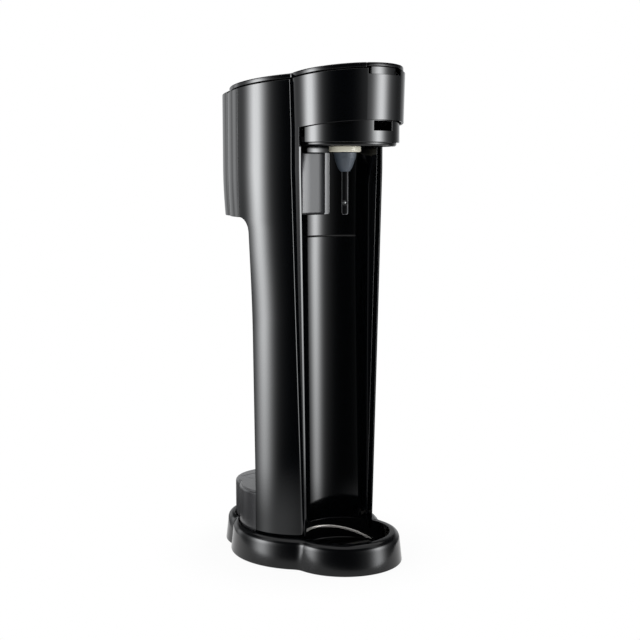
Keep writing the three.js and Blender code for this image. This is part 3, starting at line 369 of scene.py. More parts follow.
dull_black = moulded_plastic(
    "plate_dull_black", dark=(0.014, 0.014, 0.015), pale=(0.028, 0.028, 0.03),
    gloss=0.42, haze=0.2, grain=2600.0, depth=0.04,
)
pad_rubber = moulded_plastic(
    "pad_rubber", dark=(0.012, 0.012, 0.012), pale=(0.03, 0.03, 0.03),
    gloss=0.7, haze=0.25, grain=3200.0, depth=0.06,
)
plain_steel = turned_metal("plain_steel", dark=(0.42, 0.43, 0.44), pale=(0.6, 0.61, 0.62), gloss=0.22, lines=2500.0)
dress(dull_black, "base_plate")
dress(pad_rubber, "foot_pad_1", "foot_pad_2", "foot_pad_3", "foot_pad_4")
dress(plain_steel, "base_screw_1", "base_screw_2", "base_screw_3", "base_screw_4")

# Drip tray: a thin round dish of smooth black plastic whose lip rises to the rear. It lies loose in the bowl, and its
# lip carries a painted highlight: a pale band along its top that stands in for the light that it catches.
tray_radius, tray_wall, tray_low, tray_round = 39.3, 1.4, 6.6, 1.2
lip_low, lip_high, lip_rise = 8.6, 21.0, 0.33
lip_highlight_width, lip_highlight_from = 0.0017, 0.0092


def circle(radius):
    return sweep((0.0, radius), 0.0, math.pi, 40, True)


def tray_lip(radius):
    return [Vector((p.x, p.y, max(lip_low, lip_high - lip_rise * (tray_radius - p.y)))) for p in circle(radius)]


def axes_of(place):
    """The X, Y and Z of a place, as three wires."""
    split = place.add("ShaderNodeSeparateXYZ", {}, {"Vector": place}).socket.node
    return [Wire(place.tree, split.outputs[name]) for name in ("X", "Y", "Z")]


def above_slope(back, up, slope, height):
    """How far a place lies above a plane that rises to the rear and is height mm up at the bottle's axis."""
    return up - slope * back - (0.001 * height - slope * axis_y)


tray = bmesh.new()
skin(tray, [
    at_height(circle(tray_radius - tray_round), tray_low),
    at_height(circle(tray_radius), tray_low + tray_round),
    tray_lip(tray_radius),
    tray_lip(tray_radius - tray_wall),
    at_height(circle(tray_radius - tray_wall), tray_low + tray_wall),
])
both_halves(tray)
for radius in (tray_radius - tray_round, tray_radius - tray_wall):
    close_ring(tray, lambda at: abs(at.xy.length - radius) < 0.01)
bmesh.ops.recalc_face_normals(tray, faces=tray.faces[:])
tray_black = moulded_plastic(
    "tray_black", dark=(0.001, 0.0011, 0.0013), pale=(0.0025, 0.0027, 0.003),
    gloss=0.08, haze=0.1, grain=900.0, depth=0.004,
)
shader, place = look_parts(tray_black)
_, back, up = axes_of(place)
below_lip = above_slope(back, up, lip_rise, lip_high - lip_rise * tray_radius)
# Painted highlight: a pale, half-metal band along the top of the lip, in place of the light that the lip catches.
lip_highlight = up.maths("GREATER_THAN", below_lip, -lip_highlight_width) * up.maths("GREATER_THAN", up, lip_highlight_from)
place.feed(shader, {
    "Base Color": blend_colours(lip_highlight, (0.0018, 0.002, 0.0024), (0.68, 0.66, 0.63)),
    "Metallic": lip_highlight * 0.5,
})
set_piece(tray, "drip_dish", "tray", tray_black, ["drip_tray"], rounding=0.6, steps=5, soft=50)

# Rear foot block: the matte grey step behind the column, moulded with a fine grain, that the rear cover stands on. Its
# top is painted paler as a sheen of light, and a plate is let into it, behind which the cover catches.
block_front, block_height, block_fall, block_inset, block_rounding = 50.3, 61.2, 0.047, 0.2, 2.8
side_low, plinth_height, top_low, column_middle = 20.3, 40.0, 57.0, 40.0
pocket_half, pocket_front, pocket_rear, pocket_depth = 26.0, 92.0, 109.0, 2.0
catch_gap, catch_sink, top_sheen_width, top_sheen_steepness = 0.3, 0.1, 0.0016, 900.0


def lobe_pair(first, second, radius, start, end, steps):
    """Places from an angle on one lobe, round the crease, to an angle on the next."""
    bend = crease_between(first, second, radius)
    return (
        sweep(first, start, bend[3], steps[0])
        + along_crease(first, second, bend, steps[1])
        + sweep(second, bend[4], end, steps[2], True)
    )


def rear_plan(inset):
    """Half the column's foot behind the cut, drawn smaller by inset."""
    (_, middle, rear), creases = smaller(column_foot, column_foot_creases, inset)
    return lobe_pair(middle, rear, creases[1], angle_at(middle, block_front), math.pi, (20, 4, 20))


def block_top(y):
    return block_height - block_fall * (y - block_front)


def slice_faces(bm, faces, place, normal):
    """Cuts some of a shape's faces along a plane, and leaves both sides."""
    parts = faces + list({e for f in faces for e in f.edges}) + list({v for f in faces for v in f.verts})
    bmesh.ops.bisect_plane(bm, geom=parts, plane_co=place, plane_no=normal)


def turn_faces(bm, facing):
    """Makes the faces look out from the column's middle, in to the bottle's axis, or up."""
    bmesh.ops.recalc_face_normals(bm, faces=bm.faces[:])
    centre_y, total = column_middle * (facing == "out"), 0.0
    for face in bm.faces:
        middle = face.calc_center_median()
        outwards = Vector((middle.x, middle.y - centre_y, 0.0))
        total += face.calc_area() * face.normal.dot(Vector((0.0, 0.0, 1.0)) if facing == "up" else outwards)
    if (total < 0.0) != (facing == "in"):
        bmesh.ops.reverse_faces(bm, faces=bm.faces[:])


def held(wire, low, high):
    return wire.maths("MINIMUM", wire.maths("MAXIMUM", wire, low), high)


def in_pocket(at):
    return at.x < pocket_half and pocket_front < at.y < pocket_rear and at.z > top_low


step_rows = [at_height(rear_plan(block_inset), z) for z in (side_low, plinth_height)]
for angle in map(math.radians, (0, 22, 45, 68, 90)):
    line = rear_plan(block_inset + block_rounding * (1.0 - math.cos(angle)))
    drop = block_rounding * (1.0 - math.sin(angle))
    step_rows.append([Vector((p.x, p.y, block_top(p.y) - drop)) for p in line])
step_rows.append([Vector((0.0, p.y, block_top(p.y))) for p in rear_plan(block_inset + block_rounding)])
step = bmesh.new()
skin(step, step_rows)
for at, normal in (
    ((pocket_half, 0, 0), (1, 0, 0)),
    ((0, pocket_front, 0), (0, 1, 0)),
    ((0, pocket_rear, 0), (0, 1, 0)),
):
    step.normal_update()
    slice_faces(step, [f for f in step.faces if min(v.co.z for v in f.verts) > top_low], at, normal)
pocket = [f for f in step.faces if in_pocket(f.calc_center_median())]
sunk = bmesh.ops.extrude_face_region(step, geom=pocket)["geom"]
bmesh.ops.delete(step, geom=pocket, context="FACES")
for vert in verts_among(sunk):
    vert.co.z -= pocket_depth
both_halves(step)
bmesh.ops.recalc_face_normals(step, faces=step.faces[:])
grained_grey = moulded_plastic(
    "grained_grey", dark=(0.018, 0.018, 0.019), pale=(0.03, 0.03, 0.032),
    gloss=0.15, haze=0.1, grain=2400.0, depth=0.012, shine=0.55,
)
shader, place = look_parts(grained_grey)
_, back, up = axes_of(place)
below_top = above_slope(back, up, -block_fall, block_height + block_fall * block_front)
# Painted sheen: within a hair of the top the grey turns much paler, standing in for the light that the top catches.
top_sheen = held((below_top + top_sheen_width) * top_sheen_steepness, 0.0, 1.0)
place.feed(shader, {"Base Color": blend_colours(top_sheen, (0.024, 0.024, 0.026), (0.13, 0.131, 0.135))})
set_piece(step, "rear_step", "housing", grained_grey, ["rear_foot_block"], rounding=0.3, steps=2)
catch = bmesh.new()
bmesh.ops.create_grid(catch, x_segments=1, y_segments=1, size=1.0)
for vert in catch.verts:
    y = pocket_front + catch_gap if vert.co.y < 0 else pocket_rear - catch_gap
    vert.co = (math.copysign(pocket_half - catch_gap, vert.co.x), y, block_top(y) - catch_sink)
turn_faces(catch, "up")
set_piece(catch, "catch_plate", "housing", grained_grey, ["cover_catch_plate"], wall=1.5, rounding=0.3)

# Front housing: the head's drum and the two side walls of the column, one moulding in high-gloss black. Its walls
# taper to the base, open in front below the head and cut away behind, and a notch takes the button.
cut_foot, cut_top, cut_fillet, hood_low = 49.5, 54.3, 12.2, 298.8
lid_fall, rim_height, column_wall = 0.11, 414.8, 2.0
notch_x, notch_z, notch_rear = 18.9, 415.6, -20.0


def cut_y(z):
    """The rear edge of the side walls, which sweeps back under the hood."""
    if z <= hood_low - cut_fillet:
        return lerp(cut_foot, cut_top, (z - stand_height) / (hood_low - cut_fillet - stand_height))
    climb = min((z - hood_low + cut_fillet) / cut_fillet, 1.0)
    return cut_top + cut_fillet * (1.0 - math.sqrt(1.0 - climb * climb))


def leaning(places, height, lean):
    """Places at a height on the axis, on a level that falls to the rear by a share of the lid's own fall."""
    return [Vector((p.x, p.y, height - lean * lid_fall * p.y)) for p in places]


def shell_row(height, lean):
    (front, middle, _), creases = column_lobes(height)
    corner, end = angle_at(front, corner_y(height)), angle_at(middle, cut_y(height))
    line = sweep(front, 0.0, corner, 20) + lobe_pair(front, middle, creases[0], corner, end, (3, 6, 24))
    return leaning(line, height, lean)


def take_out(bm, inside):
    """Takes out the faces that have their middle inside."""
    gone = [face for face in bm.faces if inside(face.calc_center_median())]
    bmesh.ops.delete(bm, geom=gone, context="FACES")


fillet_angles = map(math.radians, (0, 20, 40, 55, 67, 76, 83, 87, 90))
fillet = [hood_low - cut_fillet + cut_fillet * math.sin(angle) for angle in fillet_angles]
upright = [side_low, 45.0, 80.0, 120.0, 160.0, 200.0, 214.0, 228.0, 242.0, 256.0, 270.0]
upright += fillet + [310.0, 325.0, full_height]
leans = [(350.0, 0.4), (362.0, 0.8)] + [(z, 1.0) for z in (seam_height, 384.0, 395.0, 405.0, rim_height)]
shell = bmesh.new()
skin(shell, [shell_row(z, 0.0) for z in upright] + [shell_row(z, lean) for z, lean in leans])
take_out(shell, lambda at: at.y < corner_y(at.z) and at.z < seam_height - lid_fall * at.y)
for at, normal in (((notch_x, 0, 0), (1, 0, 0)), ((0, 0, notch_z), (0, 0, 1))):
    slice_faces(shell, [f for f in shell.faces if f.calc_center_median().y < notch_rear], at, normal)
take_out(shell, lambda at: at.x < notch_x and at.z > notch_z and at.y < notch_rear)
both_halves(shell)
turn_faces(shell, "out")
gloss_black = moulded_plastic(
    "gloss_black", dark=(0.0005, 0.0007, 0.001), pale=(0.0012, 0.0016, 0.0022),
    gloss=0.04, haze=0.06, grain=420.0, depth=0.003,
)
set_piece(
    shell, "column_shell", "housing", gloss_black, ["front_housing"],
    wall=column_wall, rounding=0.28, steps=4,
)

# Rear hood: the upper half of the back in the same gloss black, clipped on behind the seam in the sides. Its lower
# rear corner is rounded, and its rim stands higher behind the lid.
hood_seam, hood_corner, hood_rear, hood_rise, hood_steps = 66.8, 12.0, 136.4, 3.0, (22, 4, 24)
past_crease = hood_steps[0] + 3


def hood_row(height, lean, rounded):
    """A level of the hood, whose rear is lifted by a share of the rounded corner."""
    (_, middle, rear), creases = column_lobes(height)
    line = lobe_pair(middle, rear, creases[1], angle_at(middle, hood_seam), math.pi, hood_steps)
    row = leaning(line, height, lean)
    for place in row:
        into = max(place.y - (hood_rear - hood_corner), 0.0)
        place.z += rounded * (hood_corner - math.sqrt(max(hood_corner**2 - into**2, 0.0)))
    return row


lower = ((hood_low, 1.0), (306.0, 0.7), (314.0, 0.4), (322.0, 0.15), (331.0, 0.0), (full_height, 0.0))
hood_rows = [hood_row(z, 0.0, rounded) for z, rounded in lower] + [hood_row(z, lean, 0.0) for z, lean in leans]
for place in hood_rows[-1][past_crease:]:
    place.z += hood_rise
hood = bmesh.new()
skin(hood, hood_rows)
both_halves(hood)
turn_faces(hood, "out")
set_piece(
    hood, "hood_shell", "housing", gloss_black, ["rear_hood"],
    wall=column_wall, rounding=0.45, steps=4,
)

# Alcove liner: the gloss black trough that the bottle stands in, slid in between the side walls. It is hollow round
# the bottle, has a knee behind its flared front edges and a fine joint line, and ends in a ceiling.
trough_radius, trough_full, trough_crease, liner_low, liner_set = (40.0, 43.0), 260.0, 36.5, 26.1, 3.0
knee_out, knee_back, knee_near, knee_far, knee_low, knee_high = 0.43, 0.22, 0.6, 0.15, 325.0, 350.0
joint_height, joint_half, joint_depth, lip_gap, ceiling, ceiling_front = 281.0, 0.5, 0.3, 1.5, 368.4, 10.0


def trough_row(z, sunk=0.0):
    """Half a level of the trough: its front edge, the rounded knee, the flat side and the hollow."""
    radius = lerp(*trough_radius, share_of(z, stand_height, trough_full)) + sunk
    front = corner_y(z) + liner_set
    inner = column_lobes(z)[0][0][1] - column_wall
    lip = math.sqrt(inner * inner - front * front) - lip_gap
    turn = math.pi - math.asin(trough_crease / radius)
    bend = on_lobe((0.0, radius), turn)
    edge = Vector((lip, front, 0.0))
    knee = Vector((lerp(trough_crease, lip, knee_out), lerp(front, bend.y, knee_back), 0.0))
    near, far = lerp(edge, knee, knee_near), lerp(knee, bend, knee_far)
    round_knee = [near, knee * 0.5 + near * 0.25 + far * 0.25, far]
    stop = (ceiling_front - front) / (bend.y - front)
    straight = [lerp(edge, bend, stop + step) for step in (0.0, 0.05, 0.1)]
    knees = [lerp(p, q, share_of(z, knee_low, knee_high)) for p, q in zip(round_knee, straight)]
    flat = [edge] + knees + [lerp(knees[2], bend, k / 4) for k in (1, 2, 3)]
    return at_height(flat + sweep((0.0, radius), turn, math.pi, 24, True), z)


trough_rows = [trough_row(z) for z in (liner_low, 80.0, 140.0, 200.0, trough_full)]
for side, share in ((-1.0, 0.0), (-0.6, 1.0), (0.6, 1.0), (1.0, 0.0)):
    trough_rows.append(trough_row(joint_height + joint_half * side, joint_depth * share))
trough_rows += [trough_row(z) for z in (300.0, knee_low, 337.0, knee_high, ceiling)]
liner = bmesh.new()
top_line = skin(liner, trough_rows)[-1]
top_edges = [liner.edges.get(pair) for pair in zip(top_line[1:], top_line[2:])]
for vert in verts_among(bmesh.ops.extrude_edge_only(liner, edges=top_edges)["geom"]):
    vert.co.x = 0.0
both_halves(liner)
turn_faces(liner, "in")
set_piece(liner, "trough", "housing", gloss_black, ["alcove_liner"], wall=1.2, rounding=0.5)

# Valve cover: a satin grey box of moulded plastic, screwed to the back of the trough below the nozzle. Its face reaches
# far to the left, its upper and lower edges slope, and on the right a step leads to a bright flange.
cover_low, cover_high, cover_back = 300.0, 354.0, 39.0
cover_line = [
    (-16.6, 39.3), (-16.9, 37.2), (-16.3, 36.2), (-15.4, 36.0), (-6.0, 36.0), (3.0, 36.0), (10.4, 36.0), (11.1, 36.25),
    (11.3, 36.9), (11.4, 39.2), (12.0, 39.85), (13.5, 39.7), (15.0, 39.45), (16.5, 39.15), (18.0, 38.75), (19.2, 38.35),
]
cover_levels = [(cover_low + rise, out) for rise, out in ((0.0, 0.0), (0.4, 0.55), (1.2, 0.9), (2.2, 1.0), (2.6, 1.0))]
cover_levels += [(cover_high - drop, out) for drop, out in ((1.4, 1.0), (1.0, 1.0), (0.3, 0.9), (0.0, 0.7))]
cover = bmesh.new()
skin(cover, [
    [Vector((x, lerp(cover_back, y, out) if y < cover_back else y, z)) for x, y in cover_line]
    for z, out in cover_levels
])
turn_faces(cover, "in")
satin_grey = moulded_plastic(
    "satin_grey", dark=(0.014, 0.015, 0.017), pale=(0.022, 0.023, 0.026),
    gloss=0.16, haze=0.1, grain=1900.0, depth=0.01, shine=0.42,
)
set_piece(cover, "valve_box", "housing", satin_grey, ["valve_cover"], wall=0.9, soft=50)

# Gas cylinder: a drawn flask, lacquered in pale grey, with a rounded foot and a domed shoulder. Its brass valve screws
# up into the holder.
cylinder_y, flask_radius, flask_low, flask_top, flask_round = 74.6, 29.0, 63.0, 348.0, 8.0


def turned(bm, profile, y=0.0, steps=64):
    """Spins a profile of (radius, height) pairs round an upright axis."""
    line = [bm.verts.new((r, y, z)) for r, z in profile]
    edges = [bm.edges.new(pair) for pair in zip(line, line[1:])]
    bmesh.ops.spin(
        bm, geom=line + edges, cent=(0, y, 0), axis=(0, 0, 1), angle=2 * math.pi, steps=steps, use_merge=True,
    )
    bmesh.ops.remove_doubles(bm, verts=bm.verts[:], dist=0.005)
    bmesh.ops.recalc_face_normals(bm, faces=bm.faces[:])


flask_profile = [(0.0, 65.0), (14.0, 64.4), (17.5, flask_low)]
for angle in map(math.radians, range(0, 91, 10)):
    reach, drop = flask_round * math.sin(angle), flask_round * math.cos(angle)
    flask_profile.append((flask_radius - flask_round + reach, flask_low + flask_round - drop))
flask_profile += [
    (flask_radius, 322.0), (28.7, 326.0), (27.6, 331.0), (25.4, 335.5), (22.2, 340.0), (18.6, 343.6), (15.5, 346.0),
    (13.6, 347.6), (12.6, flask_top), (0.0, flask_top),
]
flask = bmesh.new()
turned(flask, flask_profile, cylinder_y)
flask_grey = turned_metal("flask_grey", dark=(0.24, 0.25, 0.27), pale=(0.33, 0.34, 0.36), gloss=0.34, lines=900.0)
set_piece(flask, "gas_flask", "cylinder", flask_grey, ["gas_cylinder"])
brass = turned_metal("valve_brass", dark=(0.45, 0.3, 0.1), pale=(0.62, 0.43, 0.17), gloss=0.2, lines=1800.0)
dress(brass, "cylinder_valve")
dress(plain_steel, "valve_pin")

# Cylinder holder: the threaded cup under the head, moulded in glass-filled plastic, with a rubber seal. It hangs on
# two steel pins so that it tilts to the rear.
frame_black = moulded_plastic(
    "filled_plastic", dark=(0.022, 0.022, 0.024), pale=(0.04, 0.04, 0.043),
    gloss=0.4, haze=0.2, grain=1600.0, depth=0.03,
)
dress(frame_black, "cylinder_holder")
dress(pad_rubber, "holder_seal")
dress(plain_steel, "holder_pivot_pin_left", "holder_pivot_pin_right")

# Bottle collar: the half drum under the head, of gloss black plastic, with a window in front. It tilts forward on two
# pins to take the bottle.
collar_radius, collar_low, collar_high, collar_rear = 45.8, 361.5, 385.0, 1.3
window_half, window_low, window_high = 10.4, 371.0, 378.6
collar_lobe, window_turn = (0.0, collar_radius), math.asin(window_half / collar_radius)
drum_line = sweep(collar_lobe, 0.0, window_turn, 6)
drum_line += sweep(collar_lobe, window_turn, angle_at(collar_lobe, collar_rear), 30, True)
drum = bmesh.new()
skin(drum, [at_height(drum_line, z) for z in (collar_low, window_low, window_high, collar_high)])
take_out(drum, lambda at: at.x < window_half and window_low < at.z < window_high)
both_halves(drum)
turn_faces(drum, "out")
set_piece(drum, "collar_drum", "collar", gloss_black, ["bottle_collar"], wall=2.2, rounding=0.4)
dress(plain_steel, "collar_pivot_pin_left", "collar_pivot_pin_right")

# Inner collar: a chamfered ring of satin black plastic inside the drum, which steadies the bottle's shoulder. It is
# open at the rear and pressed into the drum.
ring_outer, ring_rear = 43.3, 8.0
ring_profile = [
    (38.8, 361.4), (38.8, 358.9), (39.2, 358.5), (42.1, 358.5), (ring_outer, 359.7), (ring_outer, 361.4), (38.8, 361.4),
]
ring_end = math.pi - math.acos(ring_rear / ring_outer)
steady = bmesh.new()
skin(steady, [at_height(sweep((0.0, r), 0.0, ring_end, 32, True), z) for r, z in ring_profile])
both_halves(steady)
bmesh.ops.holes_fill(steady, edges=[e for e in steady.edges if e.is_boundary], sides=0)
bmesh.ops.recalc_face_normals(steady, faces=steady.faces[:])
set_piece(steady, "steadying_ring", "collar", satin_black, ["inner_collar"], rounding=0.2, steps=2)

# Nozzle: a cream ring, a soft cup in bluish grey that seals the bottle's mouth, and the dark tube that takes the gas
# down into the water, whose outline has a painted glint, with a small bright jet near its tip. They hang from a black
# plate with the relief valve.
jet_height, glint_power = 311.6, 3.5
dress(dull_black, "nozzle_plate", "relief_valve")
ring = bmesh.new()
turned(ring, [
    (5.0, 354.6), (5.4, 354.0), (12.7, 354.0), (13.5, 354.8), (13.5, 358.2), (12.8, 359.0), (5.0, 359.0), (5.0, 354.6),
])
cream = moulded_plastic(
    "cream_plastic", dark=(0.8, 0.76, 0.55), pale=(0.88, 0.86, 0.76),
    gloss=0.28, haze=0.2, grain=1200.0, depth=0.02,
)
set_piece(ring, "nozzle_collar", "collar", cream, ["nozzle_ring"])
cup = bmesh.new()
turned(cup, [
    (2.95, 337.8), (3.3, 337.5), (4.4, 338.2), (5.4, 339.6), (6.5, 341.8), (7.5, 344.4), (8.4, 347.2), (8.9, 348.9),
    (9.2, 349.1), (9.5, 351.5), (9.7, 353.3), (9.3, 353.7), (2.95, 353.7), (2.95, 337.8),
])
soft_grey = moulded_plastic(
    "soft_blue_grey", dark=(0.035, 0.048, 0.066), pale=(0.07, 0.086, 0.108),
    gloss=0.4, haze=0.15, grain=1500.0, depth=0.02,
)
set_piece(cup, "nozzle_seal", "collar", soft_grey, ["nozzle_cup"])
tube = bmesh.new()
tube_profile = [
    (1.1, 303.0), (1.1, 301.5), (1.5, 301.5), (2.2, 301.8), (2.65, 302.8), (2.65, 359.0), (1.1, 359.0), (1.1, 303.0),
]
turned(tube, tube_profile, steps=40)
dark_smooth = moulded_plastic(
    "dark_smooth", dark=(0.001, 0.0012, 0.0015), pale=(0.003, 0.0034, 0.004),
    gloss=0.55, haze=0.1, grain=900.0, depth=0.004, shine=0.06,
)
# Painted glint: the tube's colour turns pale towards its outline, in place of the light that its edges catch.
shader, place = look_parts(dark_smooth)
rim = place.add("ShaderNodeLayerWeight", {}, {"Blend": 0.5}, "Facing")
rim = rim.maths("POWER", rim, glint_power)
place.feed(shader, {"Base Color": blend_colours(rim, (0.002, 0.0023, 0.0028), (0.75, 0.77, 0.8))})
set_piece(tube, "gas_tube", "collar", dark_smooth, ["nozzle_tube"], soft=50)


def jet_part(name, look, profile):
    """A small round part of (radius, reach) pairs that looks out of the tube, to the left and the front."""
    bm = bmesh.new()
    turned(bm, profile, steps=24)
    upright = Vector((0.0, 0.0, 1.0)).rotation_difference(Vector((away.x, away.y, 0.0)))
    bmesh.ops.rotate(bm, matrix=upright.to_matrix(), verts=bm.verts[:])
    bmesh.ops.translate(bm, vec=(0.0, 0.0, jet_height), verts=bm.verts[:])
    set_piece(bm, name, "collar", look)


jet_part("jet_ring", gloss_black, [
    (1.3, 2.2), (1.35, 2.8), (1.8, 3.05), (2.3, 2.8), (2.6, 2.2), (2.6, 1.2), (1.3, 1.2), (1.3, 2.2),
])
jet_part("jet", plain_steel, [(0.0, 3.3), (0.5, 3.2), (0.9, 2.9), (1.1, 2.5), (1.1, 1.2), (0.0, 1.2)])

# Works in the head: the moulded frame that carries every pivot, the rocker, the steel plunger and the pale gas pipe.
# The rocker's return spring is a coil of steel wire that the rocker comes down on.
pipe_white = moulded_plastic(
    "pipe_plastic", dark=(0.5, 0.51, 0.52), pale=(0.62, 0.63, 0.64),
    gloss=0.3, haze=0.2, grain=1500.0, depth=0.01,
)
dress(frame_black, "mechanism_frame", "valve_rocker")
dress(plain_steel, "frame_screw_left", "frame_screw_right", "button_pin", "rocker_pin", "valve_plunger")
dress(pipe_white, "gas_pipe")
coil_y, coil_radius, wire_radius, coil_low, coil_high = 30.0, 4.5, 0.5, 391.15, 397.85
coil_turns, turn_steps, coil_kept = 4, 36, 0.68
coil_steps = coil_turns * turn_steps
climb = (0.0, 0.0, (coil_high - coil_low - 2 * wire_radius) / coil_steps)
coil = bmesh.new()
bmesh.ops.create_circle(coil, segments=12, radius=wire_radius)
bmesh.ops.rotate(coil, matrix=Matrix.Rotation(math.pi / 2, 3, "X"), verts=coil.verts[:])
bmesh.ops.translate(coil, vec=(coil_radius, coil_y, coil_low + wire_radius), verts=coil.verts[:])
bmesh.ops.spin(
    coil, geom=coil.verts[:] + coil.edges[:], cent=(0, coil_y, 0), axis=(0, 0, 1), dvec=climb,
    angle=2 * math.pi * coil_turns, steps=coil_steps,
)
bmesh.ops.holes_fill(coil, edges=[e for e in coil.edges if e.is_boundary], sides=0)
bmesh.ops.recalc_face_normals(coil, faces=coil.faces[:])
spring = set_piece(coil, "return_coil", "housing", plain_steel, ["rocker_spring"], soft=50)
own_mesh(spring)

# Top lid: a gloss black plate over the front and middle lobes, snapped into the head on its neck. It falls to the
# rear and leaves a pocket in front for the button.
lid_thickness, lid_inset, button_half, button_gap, button_rear = 4.0, 1.8, 18.2, 0.5, 8.0
pocket_x, pocket_y = button_half + button_gap, button_gap - button_rear
head_lobes, head_creases = column_lobes(lid_height)
lid_lobes, lid_creases = smaller(head_lobes[:2], head_creases[:1], lid_inset)
lid_line = lobe_pair(*lid_lobes, lid_creases[0], 0.0, math.pi, (26, 6, 50))


def lean_shape(bm):
    """Lets a level shape fall to the rear as the lid does."""
    for vert in bm.verts:
        vert.co.z -= lid_fall * vert.co.y


lid = bmesh.new()
skin(lid, [at_height(lid_line, lid_height), [Vector((0.0, p.y, lid_height)) for p in lid_line]])
bmesh.ops.remove_doubles(lid, verts=lid.verts[:], dist=0.005)
for at, normal in (((pocket_x, 0, 0), (1, 0, 0)), ((0, pocket_y, 0), (0, 1, 0))):
    slice_faces(lid, lid.faces[:], at, normal)
take_out(lid, lambda at: at.x < pocket_x and at.y < pocket_y)
both_halves(lid)
turn_faces(lid, "up")
lean_shape(lid)
lid_black = moulded_plastic(
    "lid_black", dark=(0.0008, 0.001, 0.0013), pale=(0.002, 0.0023, 0.0029),
    gloss=0.08, haze=0.1, grain=700.0, depth=0.005,
)
set_piece(
    lid, "head_lid", "housing", lid_black, ["top_lid"],
    wall=lid_thickness, rounding=0.9, steps=4,
)

# Rear cap: a crescent of the same plastic that closes the hood behind the lid, laid on the hood's ledge. Its horns
# run out where its two arcs meet.
cap_inset, cap_gap, cap_horn, cap_drop = 2.3, 1.3, 0.2, 1.0
middle_lobe, rear_lobe = head_lobes[1:]
cap_lobe, gap_lobe = (rear_lobe[0], rear_lobe[1] - cap_inset), (middle_lobe[0], middle_lobe[1] - cap_gap)
between = cap_lobe[0] - gap_lobe[0]
meet = gap_lobe[0] + (gap_lobe[1] ** 2 - cap_lobe[1] ** 2 + between**2) / (2 * between)
arcs = [sweep(lobe, angle_at(lobe, meet + cap_horn), math.pi, 36, True) for lobe in (cap_lobe, gap_lobe)]
cap = bmesh.new()
skin(cap, [at_height(arc, lid_height - cap_drop) for arc in arcs])
both_halves(cap)
turn_faces(cap, "up")
lean_shape(cap)
set_piece(cap, "hood_cap", "housing", lid_black, ["rear_cap"], wall=3.0, rounding=0.5)

# Carbonating button: a gloss black plate level with the lid, with a skirt that fills the notch in front. It hinges at
# its rear edge on a steel pin.
skirt_radius, skirt_half, skirt_top, skirt_foot = 46.7, 14.3, 3.0, 12.2
key_line = sweep(lid_lobes[0], 0.0, math.asin(button_half / lid_lobes[0][1]), 14, True)
key = bmesh.new()
skin(key, [at_height(key_line, lid_height), [Vector((p.x, -button_rear, lid_height)) for p in key_line]])
both_halves(key)
turn_faces(key, "up")
lean_shape(key)
set_piece(
    key, "button_plate", "button", lid_black, ["carbonating_button"],
    wall=3.2, rounding=0.9, steps=4,
)
skirt_line = sweep((0.0, skirt_radius), 0.0, math.asin(skirt_half / skirt_radius), 12, True)
skirt = bmesh.new()
skin(skirt, [at_height(skirt_line, lid_height - drop) for drop in (skirt_top, skirt_foot)])
both_halves(skirt)
turn_faces(skirt, "out")
lean_shape(skirt)
set_piece(skirt, "button_skirt", "button", gloss_black, wall=1.8, rounding=0.4)

# Table and room: a round white table under the foot, which greys a little to its edge, in a room that is white to the
# eye and to reflections and lights the machine plainly from all sides.
table_radius, table_fade, table_shade = 0.14, 0.05, 0.06


def stage_piece(bm, name, look):
    mesh = bpy.data.meshes.new(name)
    bm.to_mesh(mesh)
    bm.free()
    mesh.materials.append(look)
    sheet = bpy.data.objects.new(name, mesh)
    bpy.context.collection.objects.link(sheet)
    return sheet


def rays_that_see(wire):
    """1 for a ray from the camera, off a shine or through a clear piece, and 0 for other light."""
    rays = ("Is Camera Ray", "Is Glossy Ray", "Is Transmission Ray")
    eye, shine, clear = [wire.add("ShaderNodeLightPath", {}, {}, name) for name in rays]
    return eye + shine + clear


table_white = bpy.data.materials.new("table_white")
table_white.use_nodes = True
table_white.node_tree.nodes.remove(table_white.node_tree.nodes["Principled BSDF"])
wire = Wire(table_white.node_tree)
spot = wire.add("ShaderNodeTexCoord", {}, {}, "Object")
from_middle = spot.add("ShaderNodeVectorMath", {"operation": "LENGTH"}, {0: spot}, "Value")
cloth = wire.add("ShaderNodeBsdfDiffuse", {}, {"Color": (0.8, 0.8, 0.8, 1.0)})
glow = wire.add("ShaderNodeEmission", {}, {"Color": (1.0, 1.0, 1.0, 1.0), "Strength": 1.0})
edge_share = (from_middle - (table_radius - table_fade)) * (table_shade / table_fade) + (1.0 - table_shade)
seen_share = rays_that_see(wire) * held(edge_share, 1.0 - table_shade, 1.0)
table_mix = wire.add("ShaderNodeMixShader", {}, {0: seen_share, 1: cloth, 2: glow})
wire.feed(table_white.node_tree.nodes["Material Output"], {"Surface": table_mix})
table = bmesh.new()
bmesh.ops.create_circle(table, cap_ends=True, segments=96, radius=table_radius)
stage_piece(table, "table", table_white)

world = bpy.data.worlds.new("studio")
world.use_nodes = True
bpy.context.scene.world = world
wire = Wire(world.node_tree)
white_light = {"Color": (1.0, 1.0, 1.0, 1.0), "Strength": 1.0}
room_light, seen_white = [wire.add("ShaderNodeBackground", {}, white_light) for _ in range(2)]
sky = wire.add("ShaderNodeMixShader", {}, {0: rays_that_see(wire), 1: room_light, 2: seen_white})
wire.feed(world.node_tree.nodes["World Output"], {"Surface": sky})

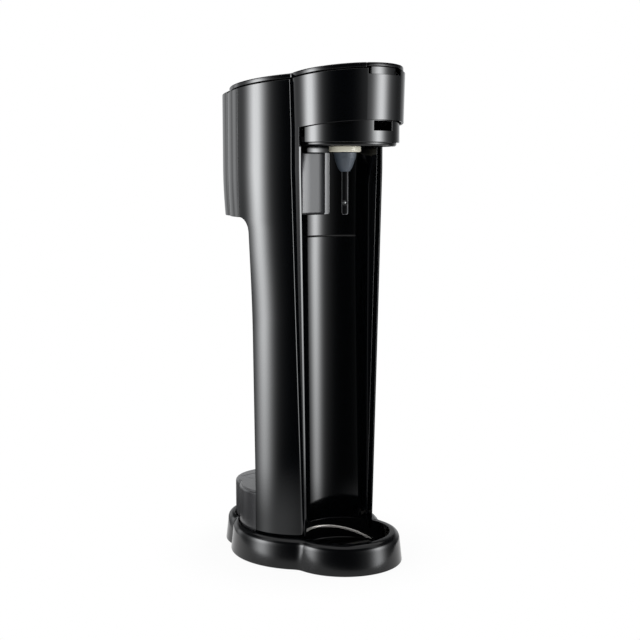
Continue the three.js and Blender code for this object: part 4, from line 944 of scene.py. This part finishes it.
# Drape: a tall tube of black cloth all round, which glows where two tall soft boxes and weaker ones behind stand
# against it. The boxes fade to the floor and to the top, and only the first reflection off a piece sees them.
drape_radius, drape_height, drape_middle = 3.0, 4.4, 0.8
box_strength, box_white, dark_level = 15.0, (0.97, 0.985, 1.0), 0.0006
box_low, box_edge, floor_share = -0.73, 0.16, 0.2
box_high, box_top_edge, top_share = 0.9, 0.5, 0.08
box_full, box_fall, least_sag = 0.3, 0.65, 0.3
drape_black, shader, place = new_look("drape_black")
across, back, up = axes_of(place)
turn = across.maths("ARCTAN2", across, back * -1.0)


def glow_at(azimuth, spread, strength):
    """A soft box's glow on the drape, brightest at its azimuth in degrees and fading over its spread."""
    off = (turn - math.radians(azimuth)) * (1.0 / math.radians(spread))
    return off.maths("EXPONENT", off * off * -1.0, 0.0) * (strength / box_strength)


left_glow = glow_at(-114.0, 13.5, 14.3) + glow_at(-114.0, 25.0, 1.7)
right_glow = glow_at(28.5, 13.0, 12.0) + glow_at(28.5, 28.0, 1.8)
rear_glow = glow_at(-168.0, 8.0, 1.1) + glow_at(-165.0, 24.0, 0.55)
rear_glow = rear_glow + glow_at(175.0, 26.0, 0.75) + glow_at(120.0, 26.0, 0.8)
above = held((up - box_low) * (1.0 / box_edge) + 0.5, 0.0, 1.0)
below = held((box_high - up) * (1.0 / box_top_edge) + 0.5, 0.0, 1.0)
sag = held((up - box_full) * box_fall + 1.0, least_sag, 1.0)
height_share = (above * (1.0 - floor_share) + floor_share) * (below * (1.0 - top_share) + top_share) * sag
bounces = place.add("ShaderNodeLightPath", {}, {}, "Ray Depth")
once = bounces.maths("LESS_THAN", bounces, 1.5)
low_glow = glow_at(-85.0, 45.0, 0.8) * (1.0 - above)
shine = ((left_glow + right_glow + rear_glow) * height_share + low_glow) * once + dark_level
place.feed(shader, {
    "Base Color": (0.0, 0.0, 0.0, 1.0),
    "Specular IOR Level": 0.0,
    "Emission Color": blend_colours(shine, (0.0, 0.0, 0.0), box_white),
    "Emission Strength": box_strength,
})
drape = bmesh.new()
bmesh.ops.create_cone(
    drape, cap_ends=False, segments=120, radius1=drape_radius, radius2=drape_radius, depth=drape_height,
)
bmesh.ops.translate(drape, vec=(0.0, 0.0, drape_middle), verts=drape.verts[:])
hung = stage_piece(drape, "drape", drape_black)
for way in ("camera", "diffuse", "transmission", "shadow"):
    setattr(hung, f"visible_{way}", False)

# View: the view is left plain.
scene = bpy.context.scene
scene.view_settings.view_transform = "Standard"
